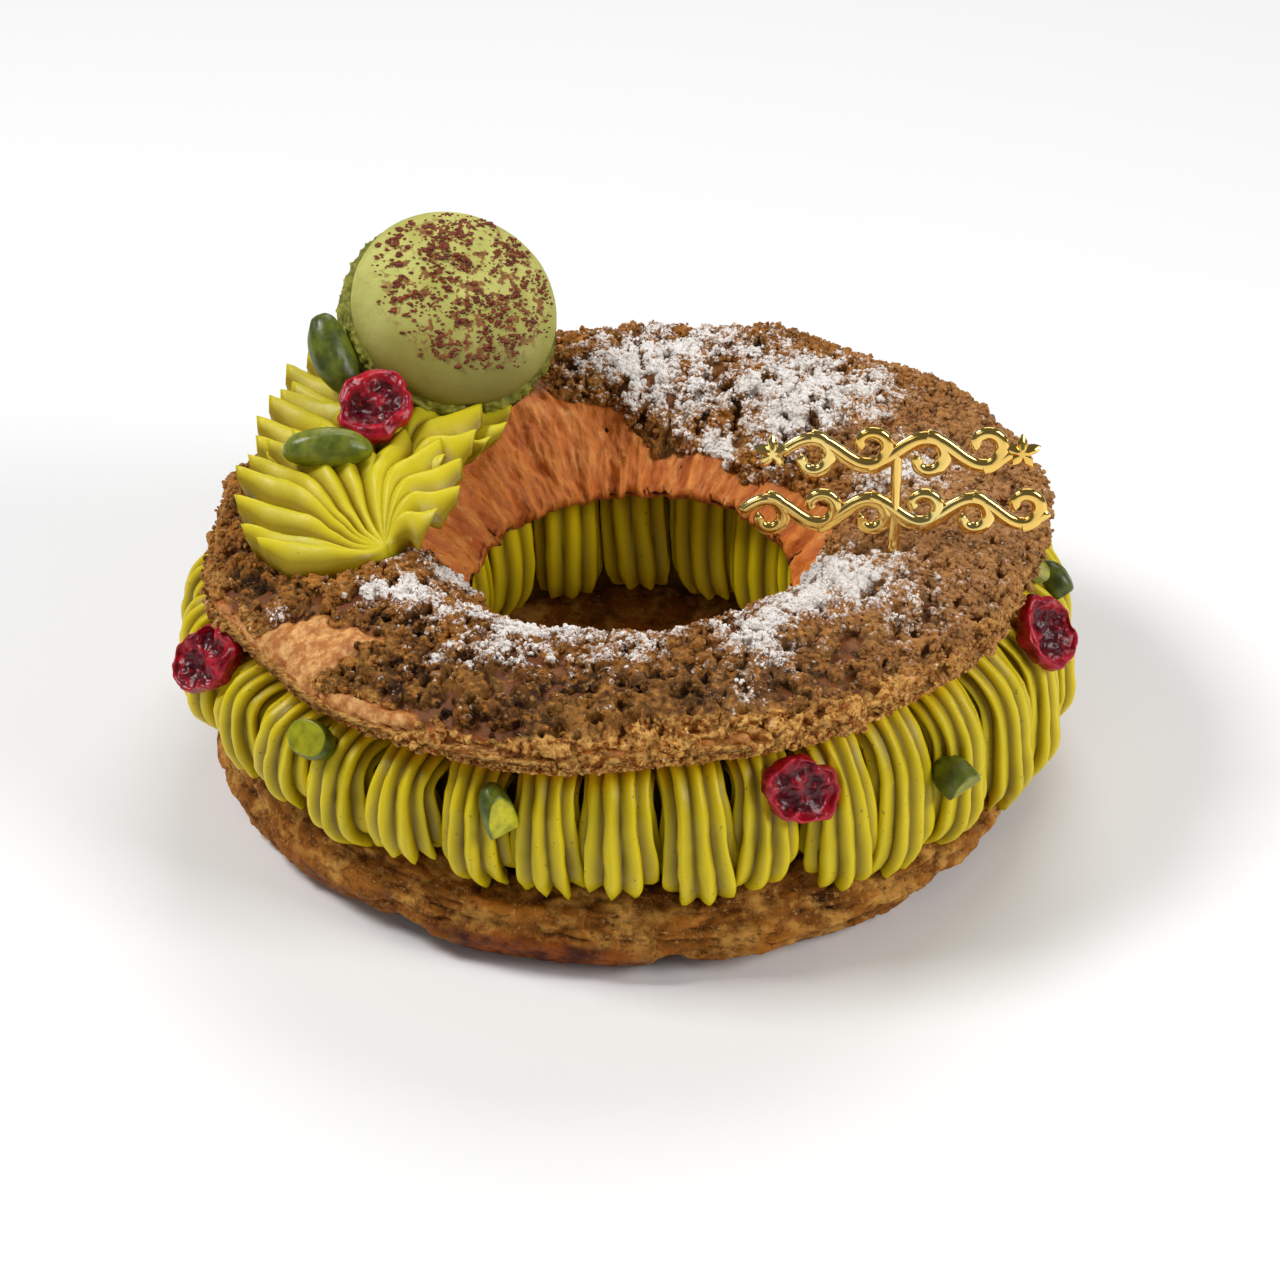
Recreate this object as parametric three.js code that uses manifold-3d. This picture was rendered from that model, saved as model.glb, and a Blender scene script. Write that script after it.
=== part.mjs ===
// A choux ring cake: a flat lower crust, a thick ring of piped pistachio cream and a crackled lid,
// dressed with piped shells of cream, one macaron, pistachios, dried cranberry halves and a gilt ornament.
// Millimetres, +Z up. The cake's own axis is the Z axis of the inner frame; angles run from +X towards +Y,
// so the front of the cake lies at -90 degrees.

import * as THREE from 'three';
import { mergeVertices } from 'three/addons/utils/BufferGeometryUtils.js';
import Module from 'manifold-3d';

const wasm = await Module();
wasm.setup();

// Driving dimensions

const clearance = 0.4;            // between any two neighbouring pieces
const frameShift = [-0.2, 0.2];   // moves the cake's axis so that the origin is mid-way across its box

const hole = { x: 1, y: -5, lipRadius: 27.2, creamRadius: 31.5, crustRadius: 27.5 };

const lid = {
  reachX: 72.6, reachFront: 69.6, reachBack: 65.5,   // outer radius at the sides, front and back
  crestRadius: 49.5, crestHeight: 51.2,
  edgeHeight: 41.6, edgeTilt: 0.045,           // the edge rises towards +X
  edgeThick: 2.6, lipHeight: 36.5, lipThick: 1.6,
  funnel: 1.9,                                 // how the slope from the crest to the lip steepens
  cragDepth: 1.1, funnelDepth: 0.35,           // relief of the crackle outside, and of the slope inside
  waver: 1.1,
  around: 66, across: 14,
};

const crust = {
  radius: 73.4, oval: 1.5,                     // mean outer radius, and what the sides have more
  roll: 7.5,                                   // radius of its rounded outer edge
  innerTop: 5.2, innerInset: 3,
  foldDepth: 0.6, holeChamfer: 1.6,
  dent: 2, dentAngle: -138,                    // one flatter place in the outline
  around: 60, across: 12,
};

const cream = {
  strokes: 35, firstEdge: -85.7,               // count of outer strokes, and the angle between two of them
  ridges: 4,
  belly: 76.3, bellyOval: 3.9,                 // mean outer radius, and what the sides have more
  tipHeight: 17, sag: 5.6, sagAngle: -20,        // the strokes hang lower round this angle
  tuck: 3,                                     // how far the top edge stays inside the lid's rim
  crevice: 4, ridgeDepth: 1.2, barrel: 1.5,
  innerStrokes: 18, innerRidges: 3, innerCrevice: 2.2, innerRidge: 0.9,
};

const shell = {
  base: 50.6, rise: 8.5, flutes: 12, fluteDepth: 1.2,
  fanFrom: 24, fanTo: 228,                     // the angles between which the flutes fan out
  around: 29,
};
// The tail of each shell, how far it is turned, and how much its rim is lifted by the one in front.
const shellTails = [
  { x: -41, y: -16, turn: 0, size: 1, lift: 0 },
  { x: -37.5, y: 0.5, turn: -3, size: 1, lift: 1 },
  { x: -31.5, y: 12.5, turn: -6, size: 0.98, lift: 1.5 },
];

const macaron = {
  radius: 19.4, dome: 7, foot: 3, fill: 2, fillRadius: 18.2, around: 22,
  apex: [-29, 26.2, 75.4], facing: [0.26, -0.559, 0.788],   // the middle of the front cap, and its way
};

const berry = { radius: 6.3, thick: 6, hollow: 2.4, wrinkle: 0.7 };

const ornament = {
  width: 51, lowerHeight: 11, upperWidth: 38, upperHeight: 12,
  thick: 1.2, place: [44.8, -23, 55], lean: 6,
  starRadius: 3.2, stakeWidth: 1.8, stakeDepth: 11,
};

const colours = {
  crust: 0xa8692f, cream: 0xc4ba2c, lid: 0x8d6238, piped: 0xd2c838, macaron: 0x9fa650, filling: 0x6f7a2c,
  nutSkin: 0x4c6420, nutCut: 0xa0a818, berry: 0x9c1230, gold: 0xd9a62a,
};

// Helpers

const degrees = Math.PI / 180;
const mix = (a, b, t) => a + (b - a) * t;
const clamp01 = (t) => Math.min(1, Math.max(0, t));
const smooth = (t) => clamp01(t) * clamp01(t) * (3 - 2 * clamp01(t));
const arcBetween = (a, b) => Math.atan2(Math.sin(a - b), Math.cos(a - b));
const bell = (angle, centre, width) => (
  Math.exp(-((arcBetween(angle, centre * degrees) / (width * degrees)) ** 2))
);

const polar = (angle, radius, height) => [radius * Math.cos(angle), radius * Math.sin(angle), height];

// A smooth uneven field between about -1 and 1, a sum of three crossed waves.
function lumps(x, y, z) {
  const wide = Math.sin(0.31 * x + 1.3 + 0.8 * Math.sin(0.23 * y)) * Math.cos(0.29 * y - 0.7 + 0.2 * z);
  const fine = Math.sin(0.83 * x - 0.41 * y + 2.1) * Math.cos(0.77 * y + 0.52 * x + 0.6 * z);
  return 0.6 * wide + 0.5 * fine;
}

// One number between -1 and 1 for a whole number, the same at every run.
function chance(n) {
  const s = Math.sin(n * 127.1 + 311.7) * 43758.5453;
  return 2 * (s - Math.floor(s)) - 1;
}

// Distance from the cake's axis to a circle round the centre of the hole, along one angle.
function holeReach(angle, radius) {
  const along = hole.x * Math.cos(angle) + hole.y * Math.sin(angle);
  const aside = hole.x * Math.sin(angle) - hole.y * Math.cos(angle);
  return along + Math.sqrt(radius * radius - aside * aside);
}

// Moves every vertex of a closed three.js surface to pointAt(i, j), where i counts the columns round the
// main axis and j the rows: round the tube of a torus, or from the top pole of a sphere down.
function shaped(surface, columns, rows, pointAt) {
  const uv = surface.getAttribute('uv');
  const position = surface.getAttribute('position');
  for (let n = 0; n < position.count; n += 1) {
    const point = pointAt(Math.round(uv.getX(n) * columns) % columns, Math.round(uv.getY(n) * rows));
    position.setXYZ(n, point[0], point[1], point[2]);
  }
  return closed(surface);
}

// A closed ring: pointAt takes the angle round the ring and the number of the station in its section.
const ringSurface = (around, stations, pointAt) => (
  shaped(new THREE.TorusGeometry(10, 5, stations, around), around, stations, (i, j) => (
    pointAt(2 * Math.PI * i / around, j % stations)))
);

// A closed ball: pointAt takes the turn about the poles and the angle from the top pole.
const ballSurface = (around, rows, pointAt) => (
  shaped(new THREE.SphereGeometry(1, around, rows), around, rows, (i, j) => (
    pointAt(2 * Math.PI * i / around, Math.PI * (rows - j) / rows)))
);

// Merges the seams of a surface, so that it is one closed skin.
function closed(surface) {
  surface.deleteAttribute('uv');
  surface.deleteAttribute('normal');
  return mergeVertices(surface, 1e-4);
}

function toSolid(surface) {
  return new wasm.Manifold(new wasm.Mesh({
    numProp: 3,
    vertProperties: new Float32Array(surface.getAttribute('position').array),
    triVerts: new Uint32Array(surface.index.array),
  }));
}

function toSurface(solid) {
  const mesh = solid.getMesh();
  const surface = new THREE.BufferGeometry();
  surface.setAttribute('position', new THREE.BufferAttribute(new Float32Array(mesh.vertProperties), 3));
  surface.setIndex(new THREE.BufferAttribute(new Uint32Array(mesh.triVerts), 1));
  return surface;
}

const cut = (solid, tools) => tools.reduce((rest, tool) => rest.subtract(tool), solid);

// Keeps the largest body of a solid, without the scraps that a cut can leave.
function largest(solid) {
  const bodies = solid.decompose();
  return bodies.reduce((best, body) => (body.volume() > best.volume() ? body : best));
}

// Turns a surface made along +Z so that it faces one way, and puts it in place.
function placed(surface, facing, place) {
  const way = new THREE.Vector3(...facing).normalize();
  surface.applyQuaternion(new THREE.Quaternion().setFromUnitVectors(new THREE.Vector3(0, 0, 1), way));
  surface.translate(...place);
  return surface;
}

// Lower crust

const crustReach = (angle) => (
  crust.radius + crust.oval * Math.cos(2 * angle) + 0.6 * Math.sin(5 * angle + 1)
  - crust.dent * bell(angle, crust.dentAngle, 18)
);

// Height of the cone on which the cream lies, from the rounded edge down to the hole.
function bedHeight(angle, radius) {
  const outer = crustReach(angle) - crust.roll;
  const inner = holeReach(angle, hole.crustRadius + crust.innerInset);
  return mix(crust.innerTop, 2 * crust.roll, (radius - inner) / (outer - inner));
}

// The section runs up round the outer edge in six steps, in along the bed, down the hole and out along the
// flat base.
function crustPoint(angle, step) {
  const outer = crustReach(angle) - crust.roll;
  const holeEdge = holeReach(angle, hole.crustRadius);
  if (step > 6) {
    const onBed = mix(outer, holeEdge + crust.innerInset, 0.5);
    const onBase = mix(outer, holeEdge + crust.holeChamfer, 0.5);
    const inward = [
      [onBed, bedHeight(angle, onBed)],
      [holeEdge + crust.innerInset, crust.innerTop],
      [holeEdge, 0.6 * crust.innerTop],
      [holeEdge + crust.holeChamfer, 0],
      [onBase, 0],
    ];
    return polar(angle, ...inward[step - 7]);
  }
  const turn = (30 * step - 90) * degrees;
  const folded = step > 0 && step < 5;
  const fold = folded ? crust.foldDepth * Math.sin(3 * turn + 3 * Math.sin(3 * angle)) : 0;
  const reach = crust.roll + fold;
  const height = Math.max(0, crust.roll + reach * Math.sin(turn));
  const undercut = step > 0 && step < 3 ? undercuts(angle) * (1 - step / 3) : 0;
  return polar(angle, outer + reach * Math.cos(turn), height + undercut);
}

// How far the edge is lifted off the base where the crust has puffed up.
const undercuts = (angle) => 1.6 * bell(angle, -84, 5) + 1.2 * bell(angle, -122, 7);

// Lid

function lidReach(angle) {
  const side = Math.cos(angle) ** 2;
  const ends = Math.sin(angle) > 0 ? lid.reachBack : lid.reachFront;
  const wander = lid.waver * (0.6 * Math.sin(6 * angle + 0.5) + 0.5 * Math.sin(11 * angle + 2));
  return mix(ends, lid.reachX, side) + wander;
}

// Height of the lid's underside, a cone from the rim in to the lip, tilted as a whole.
function undersideHeight(angle, radius) {
  const lip = holeReach(angle, hole.lipRadius);
  const rim = lidReach(angle);
  const rise = lid.edgeTilt * radius * Math.cos(angle);
  return mix(lid.lipHeight - lid.lipThick, lid.edgeHeight, (radius - lip) / (rim - lip)) + rise;
}

const crestHeight = (angle) => (
  lid.crestHeight - 0.8 * Math.max(0, Math.sin(angle)) + 0.4 * Math.sin(3 * angle)
);

// Height of the lid's upper face: a quarter ellipse from the rim to the crest, then a funnel to the lip.
function lidTop(angle, radius) {
  const crest = crestHeight(angle);
  const tilt = lid.edgeTilt * radius * Math.cos(angle);
  if (radius >= lid.crestRadius) {
    const out = clamp01((radius - lid.crestRadius) / (lidReach(angle) - lid.crestRadius));
    const rim = lid.edgeHeight + lid.edgeThick;
    return mix(rim, crest, Math.sqrt(1 - out * out)) + tilt;
  }
  const lip = holeReach(angle, hole.lipRadius);
  const inward = clamp01((lid.crestRadius - radius) / (lid.crestRadius - lip));
  return mix(crest, lid.lipHeight, inward ** lid.funnel) + tilt;
}

// The section starts at the rim, runs over the crest to the lip and back along the underside.
// A lift above nothing gives the same shape swollen by that much above and below.
function lidPoint(angle, step, lift = 0) {
  const rim = lidReach(angle);
  const lip = holeReach(angle, hole.lipRadius);
  if (step > 10) {
    const radius = [lip + 1.2, mix(lip, rim, 0.5), rim - 1.6][step - 11];
    return polar(angle, radius, undersideHeight(angle, radius) - lift);
  }
  if (step > 6) {
    const radius = lid.crestRadius - (lid.crestRadius - lip) * Math.sin((step - 6) * 22.5 * degrees);
    const crumb = lid.funnelDepth * lumps(radius * Math.cos(angle), radius * Math.sin(angle), 0);
    return polar(angle, radius, lidTop(angle, radius) + lift + (step < 10 ? crumb : 0));
  }
  const radius = lid.crestRadius + (rim - lid.crestRadius) * Math.cos(step * 15 * degrees);
  const height = lidTop(angle, radius) + lift;
  const crag = lid.cragDepth * lumps(radius * Math.cos(angle), radius * Math.sin(angle), height);
  return polar(angle, radius + (step < 3 ? 0.6 * crag : 0), height + crag * (step === 0 ? 0.4 : 1));
}

// Cream between the crusts

const tipHeight = (angle) => (
  cream.tipHeight - cream.sag * smooth((Math.cos(angle - cream.sagAngle * degrees) - 0.45) / 0.5)
);

// How far a point across one stroke stands back from its fullest line, and how much its tip is lifted:
// a deep crevice at both edges, a barrel shape between them and a groove between two ridges.
function strokeForm(phase, ridges, crevice, groove, barrel) {
  const edge = Math.abs(2 * phase - 1);
  const inGroove = 0.5 + 0.5 * Math.cos(2 * Math.PI * phase * ridges);
  const atEdge = edge > 0.95 ? 1 : 0;
  return atEdge * crevice + (1 - atEdge) * (inGroove * groove + barrel * edge * edge);
}

function creamPoint(turned, step) {
  const angle = turned + cream.firstEdge * degrees;
  const stroke = turned / (2 * Math.PI) * cream.strokes + 1e-6;
  const phase = stroke - Math.floor(stroke);
  const own = chance(Math.floor(stroke));
  const back = strokeForm(phase, cream.ridges, cream.crevice, cream.ridgeDepth, cream.barrel);

  const turnIn = turned / (2 * Math.PI) * cream.innerStrokes;
  const phaseIn = turnIn - Math.floor(turnIn);
  const backIn = strokeForm(phaseIn, cream.innerRidges, cream.innerCrevice, cream.innerRidge, 0.6);

  const rim = lidReach(angle) - cream.tuck;
  const belly = cream.belly + cream.bellyOval * Math.cos(2 * angle) + 0.6 * own;
  const tip = tipHeight(angle) + 0.9 * chance(Math.floor(stroke) + 50) + 0.7 * back;
  const bellyHeight = tip + 7;
  const shoulder = undersideHeight(angle, rim) - clearance - 0.6;
  const bedEdge = crustReach(angle) - crust.roll;
  const inner = holeReach(angle, hole.creamRadius) + backIn;

  const sections = [
    [belly - back, bellyHeight],
    [mix(rim, belly - back, 0.68), mix(bellyHeight, shoulder, 0.73)],
    [rim - 0.6 * back, shoulder],
    [inner + 1.5, undersideHeight(angle, inner + 1.5) - clearance - 0.4],
    [inner, 20],
    [inner + 1.2, bedHeight(angle, inner + 1.2) + clearance + 0.3],
    [bedEdge, 2 * crust.roll + clearance + 1],
    [belly - 1.6 - 1.1 * back, tip],
  ];
  return polar(angle, ...sections[step]);
}

// Piped shells: two lobes of flutes that all run to one tail, the pole of the surface.

function shellReach(angle, size) {
  const lobe = (centre, half, length) => {
    const off = Math.abs(arcBetween(angle, centre * degrees)) / (half * degrees);
    return off < 1 ? length * Math.cos(off * Math.PI / 2) ** 0.85 : 0;
  };
  return size * Math.max(2.5, lobe(148, 75, 27.5), lobe(72, 44, 24.5));
}

// Most columns lie in the fan in front of the tail, two for each flute, and the rest close the back.
function shellHeading(column) {
  const inFan = 2 * shell.flutes;
  if (column <= inFan) {
    return mix(shell.fanFrom, shell.fanTo, column / inFan) * degrees;
  }
  return mix(shell.fanTo, shell.fanFrom + 360, (column - inFan) / (shell.around - inFan)) * degrees;
}

// Stations from the tail over the top of a lobe, round its rim and back underneath: how far out each lies,
// and its height as a share of the rise.
const shellStations = [
  [0, 0.1], [0.22, 0.5], [0.48, 0.9], [0.76, 1], [0.95, 0.72], [0.97, 0.34], [0.6, -0.3], [0, -0.3],
];

function shellPoint(tail, column, row) {
  const angle = shellHeading(column);
  const heading = angle + tail.turn * degrees;
  const reach = shellReach(angle, tail.size);
  const [out, share] = shellStations[row];
  const inFan = column < 2 * shell.flutes ? 1 : 0;
  const flute = (column % 2 === 0 ? -1 : 1) * inFan * smooth(reach / 12) * (row < 6 ? 1 : 0);
  const radius = out * (reach + shell.fluteDepth * flute);
  const full = out === 0 ? 1 : smooth((reach - 2) / 16);
  const rise = share * shell.rise * full + 0.5 * shell.fluteDepth * flute * Math.min(1, 2 * out);
  const x = tail.x + radius * Math.cos(heading);
  const y = tail.y + radius * Math.sin(heading);
  return [x, y, shell.base + rise + tail.lift * out];
}

// Macaron parts, each a lathe along +Z with its front face up

function macaronCap() {
  const profile = [];
  profile.push(new THREE.Vector2(0, 0));
  profile.push(new THREE.Vector2(macaron.radius - 0.8, 0));
  profile.push(new THREE.Vector2(macaron.radius + 0.5, macaron.foot * 0.5));
  profile.push(new THREE.Vector2(macaron.radius - 0.4, macaron.foot));
  for (const turn of [10, 32, 55, 78]) {
    const across = macaron.radius * Math.cos(turn * degrees) ** 0.9;
    profile.push(new THREE.Vector2(across, macaron.foot + macaron.dome * Math.sin(turn * degrees)));
  }
  profile.push(new THREE.Vector2(0, macaron.foot + macaron.dome));
  return latheUp(profile, macaron.around);
}

function latheUp(profile, around) {
  const surface = new THREE.LatheGeometry(profile, around);
  surface.rotateX(Math.PI / 2);
  return closed(surface);
}

// Nuts: an egg that is a little bent, or a piece of one with a flat cut end

function nutSurface(length, width, thick, cutAt, swell = 0) {
  return ballSurface(10, 6, (turn, fromTop) => {
    const along = Math.min(Math.cos(fromTop), cutAt);
    const full = Math.sqrt(Math.max(0, 1 - along ** 2)) ** 0.85;
    const inside = Math.cos(fromTop) > cutAt ? Math.sin(fromTop) / Math.sqrt(1 - cutAt * cutAt) : 1;
    const radius = full * inside;
    const bend = 0.6 * along * along;
    return [
      radius * (width / 2 + swell) * Math.cos(turn) + bend,
      radius * (thick / 2 + swell) * Math.sin(turn),
      along * (length / 2 + swell),
    ];
  });
}

// Berries: a thick wrinkled disc with a hollow face

function berrySurface(seed, swell = 0) {
  return ballSurface(14, swell > 0 ? 6 : 7, (turn, fromTop) => {
    const wrinkle = berry.wrinkle * (Math.sin(3 * turn + seed) * 0.6 + Math.sin(7 * turn + 2 * seed) * 0.5);
    const out = Math.sin(fromTop) ** 0.7;
    const radius = out * (berry.radius + swell + wrinkle * out);
    const up = Math.cos(fromTop);
    const body = Math.sign(up) * Math.abs(up) ** 0.6 * (berry.thick / 2 + swell);
    const dent = fromTop < Math.PI / 2 ? berry.hollow * (1 - out * out) * (swell > 0 ? 0 : 1.6) : 0;
    return [radius * Math.cos(turn), 0.92 * radius * Math.sin(turn), body - dent];
  });
}

// Gilt ornament: leafy scrolls and two small stars in two tiers, made of flat ribbons that run together

function ribbon(centreline, steps, widthAt) {
  const left = [];
  const right = [];
  for (let i = 0; i <= steps; i += 1) {
    const t = i / steps;
    const here = centreline(t);
    const next = centreline(t + 0.001);
    const way = new THREE.Vector2(next[0] - here[0], next[1] - here[1]).normalize();
    const half = widthAt(t) / 2;
    left.push(new THREE.Vector2(here[0] - way.y * half, here[1] + way.x * half));
    right.unshift(new THREE.Vector2(here[0] + way.y * half, here[1] - way.x * half));
  }
  return plate(new THREE.Shape([...left, ...right]), ornament.thick);
}

function plate(shape, thick) {
  const surface = closed(new THREE.ExtrudeGeometry(shape, { depth: thick, bevelEnabled: false, steps: 1 }));
  surface.translate(0, 0, -thick / 2);
  return toSolid(surface);
}

// A curl that winds in from a start point: radius shrinks as it turns.
const curl = (x, y, radius, start, turns, hand) => (t) => {
  const angle = start + hand * turns * 2 * Math.PI * t;
  const reach = radius * (1 - 0.72 * t);
  return [x + reach * Math.cos(angle), y + reach * Math.sin(angle)];
};

function star(x, y, radius) {
  const points = [];
  for (let i = 0; i < 10; i += 1) {
    const reach = i % 2 === 0 ? radius : radius * 0.45;
    const angle = (90 + i * 36) * degrees;
    points.push(new THREE.Vector2(x + reach * Math.cos(angle), y + reach * Math.sin(angle)));
  }
  return plate(new THREE.Shape(points), ornament.thick * 1.2);
}

// One tier: a wavy stem with a curl on each wave, alternately above and below it.
function tier(width, height, waves, foot) {
  const middle = foot + height / 2;
  const stem = (t) => [width * (t - 0.5), middle + 0.2 * height * Math.sin(t * waves * 2 * Math.PI)];
  const pieces = [ribbon(stem, 6 * waves, (t) => 1.6 + 0.8 * Math.sin(t * Math.PI))];
  const curls = 2 * waves;
  for (let i = 0; i < curls; i += 1) {
    const side = i % 2 === 0 ? 1 : -1;
    const root = stem((i + 0.5) / curls);
    const radius = height * 0.33;
    const centre = [root[0], root[1] - side * radius * 0.9];
    const spiral = curl(centre[0], centre[1], radius, side * Math.PI / 2, 0.8, -side);
    pieces.push(ribbon(spiral, 7, (t) => 2.3 - 0.9 * t));
  }
  return pieces;
}

function ornamentSolid() {
  const upperFoot = ornament.lowerHeight - 0.6;
  const upperMiddle = upperFoot + ornament.upperHeight / 2;
  const pieces = [
    ...tier(ornament.width, ornament.lowerHeight, 3, 0),
    ...tier(ornament.upperWidth, ornament.upperHeight, 2, upperFoot),
  ];
  for (const side of [-1, 1]) {
    pieces.push(star(side * (ornament.upperWidth / 2 + 1.6), upperMiddle, ornament.starRadius));
  }
  const tie = ornament.stakeWidth / 2;
  pieces.push(plate(new THREE.Shape([
    new THREE.Vector2(-tie, -ornament.stakeDepth + 2), new THREE.Vector2(0, -ornament.stakeDepth),
    new THREE.Vector2(tie, -ornament.stakeDepth + 2), new THREE.Vector2(tie, upperMiddle),
    new THREE.Vector2(-tie, upperMiddle),
  ]), ornament.thick));
  return pieces.reduce((whole, piece) => whole.add(piece));
}

// Assembly

const cake = new THREE.Group();
cake.position.set(frameShift[0], frameShift[1], 0);
const part = new THREE.Group();
part.add(cake);

function addMesh(name, surface, colour, roughness, metalness = 0) {
  surface.computeVertexNormals();
  const material = new THREE.MeshStandardMaterial({ color: colour, roughness, metalness });
  const mesh = new THREE.Mesh(surface, material);
  mesh.name = name;
  cake.add(mesh);
}

// Where the side toppings sit: the angle round the cake, the distance from its axis and the height.
const onRing = (angle, radius, height) => polar(angle * degrees, radius, height);
const sideNuts = [
  {
    name: 'pistachio_side_left', place: onRing(-134.3, 73.6, 35.6),
    lie: [0.75, -0.66, 0.1], size: [8, 8.2, 6.4], cutAt: 1,
  },
  {
    name: 'pistachio_side_front', place: onRing(-106.2, 71.6, 31.8),
    lie: [0.35, -0.35, -0.87], size: [12, 6.2, 5.6], cutAt: 0.45,
  },
  {
    name: 'pistachio_side_right', place: onRing(-44.1, 76, 27.5),
    lie: [0.6, -0.75, -0.25], size: [10, 7, 6.6], cutAt: 0.5,
  },
  {
    name: 'pistachio_far_right', place: onRing(-6.5, 75.4, 37.2),
    lie: [0.55, -0.35, -0.75], size: [8.5, 5.4, 5], cutAt: 0.6,
  },
  {
    name: 'pistachio_chip_right', place: onRing(-9.5, 72, 41.6),
    lie: [0.3, -0.9, 0.3], size: [5, 4.6, 3.8], cutAt: 0.4,
  },
];
const sideBerries = [
  { name: 'cranberry_side_left', place: onRing(-159, 76.4, 34), face: [-0.5, -0.62, 0.6], seed: 1 },
  { name: 'cranberry_side_front', place: onRing(-66.4, 70.6, 34.6), face: [0.36, -0.9, 0.25], seed: 2.2 },
  { name: 'cranberry_side_right', place: onRing(-18.8, 75.8, 37.5), face: [0.6, -0.52, 0.6], seed: 3.7 },
];

const topNuts = [
  { name: 'pistachio_top_front', place: [-51.3, -1.6, 60.4], lie: [1, 0.06, -0.02], size: [15.5, 7, 6.6] },
  { name: 'pistachio_top_back', place: [-51.9, 19.8, 66.4], lie: [-0.36, 0.52, 0.75], size: [15, 7.6, 6.6] },
];
const topBerry = { name: 'cranberry_top', place: [-43.8, 8.6, 62.8], face: [0.12, -0.62, 0.77], seed: 5.1 };

// Tools that make room for each topping, a little larger than the topping itself.
const nutRoom = (spec) => (
  toSolid(placed(nutSurface(...spec.size, spec.cutAt ?? 1, clearance), spec.lie, spec.place))
);
const berryRoom = (spec) => toSolid(placed(berrySurface(spec.seed, clearance), spec.face, spec.place));
const sideRoom = [...sideNuts.map(nutRoom), ...sideBerries.map(berryRoom)];

addMesh('crust_bottom', ringSurface(crust.around, crust.across, crustPoint), colours.crust, 0.85);

const creamColumns = cream.strokes * cream.ridges * 2;
const creamBody = ringSurface(creamColumns, 8, creamPoint);
addMesh('cream_filling', toSurface(largest(cut(toSolid(creamBody), sideRoom))), colours.cream, 0.55);

// Stands a flat piece made in the XY plane up on the lid, leaning back a little.
function standing(surface) {
  surface.rotateX(Math.PI / 2 - ornament.lean * degrees);
  surface.translate(...ornament.place);
  return surface;
}

const slotReach = 2 * (ornament.stakeDepth + clearance);
const stakeRoom = standing(closed(new THREE.BoxGeometry(
  ornament.stakeWidth + 2 * clearance, slotReach, ornament.thick + 2 * clearance,
)));
const lidBody = toSolid(ringSurface(lid.around, lid.across, lidPoint));
addMesh('crust_top', toSurface(largest(cut(lidBody, [toSolid(stakeRoom), ...sideRoom]))), colours.lid, 0.9);

const swollenLid = (angle, step) => lidPoint(angle, step, clearance);
const lidRoom = toSolid(ringSurface(lid.around, lid.across, swollenLid));

// The macaron's three layers, stacked along its facing
const face = new THREE.Vector3(...macaron.facing).normalize();
const capDepth = macaron.foot + macaron.dome;
const apex = new THREE.Vector3(...macaron.apex);
const alongFace = (distance) => face.clone().multiplyScalar(distance).add(apex).toArray();
const macaronFront = placed(macaronCap(), macaron.facing, alongFace(-capDepth));
const backPlace = alongFace(-capDepth - macaron.fill);
const macaronBack = placed(macaronCap().rotateX(Math.PI), macaron.facing, backPlace);
const macaronFill = placed(closed(new THREE.CylinderGeometry(
  macaron.fillRadius, macaron.fillRadius, macaron.fill - 2 * clearance, macaron.around,
).rotateX(Math.PI / 2)), macaron.facing, alongFace(-capDepth - macaron.fill / 2));
const thick = 2 * capDepth + macaron.fill;
const macaronRoom = toSolid(placed(latheUp([
  new THREE.Vector2(0, -thick - clearance),
  new THREE.Vector2(macaron.radius * 0.55, -thick + 0.2),
  new THREE.Vector2(macaron.radius * 0.85, -thick + 1.8),
  new THREE.Vector2(macaron.radius + 1.2, -thick + macaron.dome - 1),
  new THREE.Vector2(macaron.radius + 1.2, 1 - macaron.dome),
  new THREE.Vector2(0, clearance),
], macaron.around), macaron.facing, macaron.apex));

const shellRows = shellStations.length - 1;
const pipedShells = shellTails.map((tail) => (
  toSolid(ballSurface(shell.around, shellRows, (turn, fromTop) => shellPoint(
    tail, Math.round(turn / (2 * Math.PI) * shell.around), Math.round(fromTop / Math.PI * shellRows),
  )))
));
const pipedWhole = pipedShells.reduce((whole, one) => whole.add(one));
const pipedRoom = [lidRoom, macaronRoom, berryRoom(topBerry), ...topNuts.map(nutRoom)];
addMesh('piped_shells', toSurface(largest(cut(pipedWhole, pipedRoom))), colours.piped, 0.5);

addMesh('macaron_front', macaronFront, colours.macaron, 0.75);
addMesh('macaron_filling', macaronFill, colours.filling, 0.6);
addMesh('macaron_back', macaronBack, colours.macaron, 0.75);

for (const spec of [...topNuts, ...sideNuts]) {
  const cutAt = spec.cutAt ?? 1;
  const colour = cutAt < 1 ? colours.nutCut : colours.nutSkin;
  addMesh(spec.name, placed(nutSurface(...spec.size, cutAt), spec.lie, spec.place), colour, 0.45);
}
for (const spec of [topBerry, ...sideBerries]) {
  addMesh(spec.name, placed(berrySurface(spec.seed), spec.face, spec.place), colours.berry, 0.4);
}

addMesh('gilt_ornament', standing(toSurface(ornamentSolid())), colours.gold, 0.15, 1);

export default part;
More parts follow.
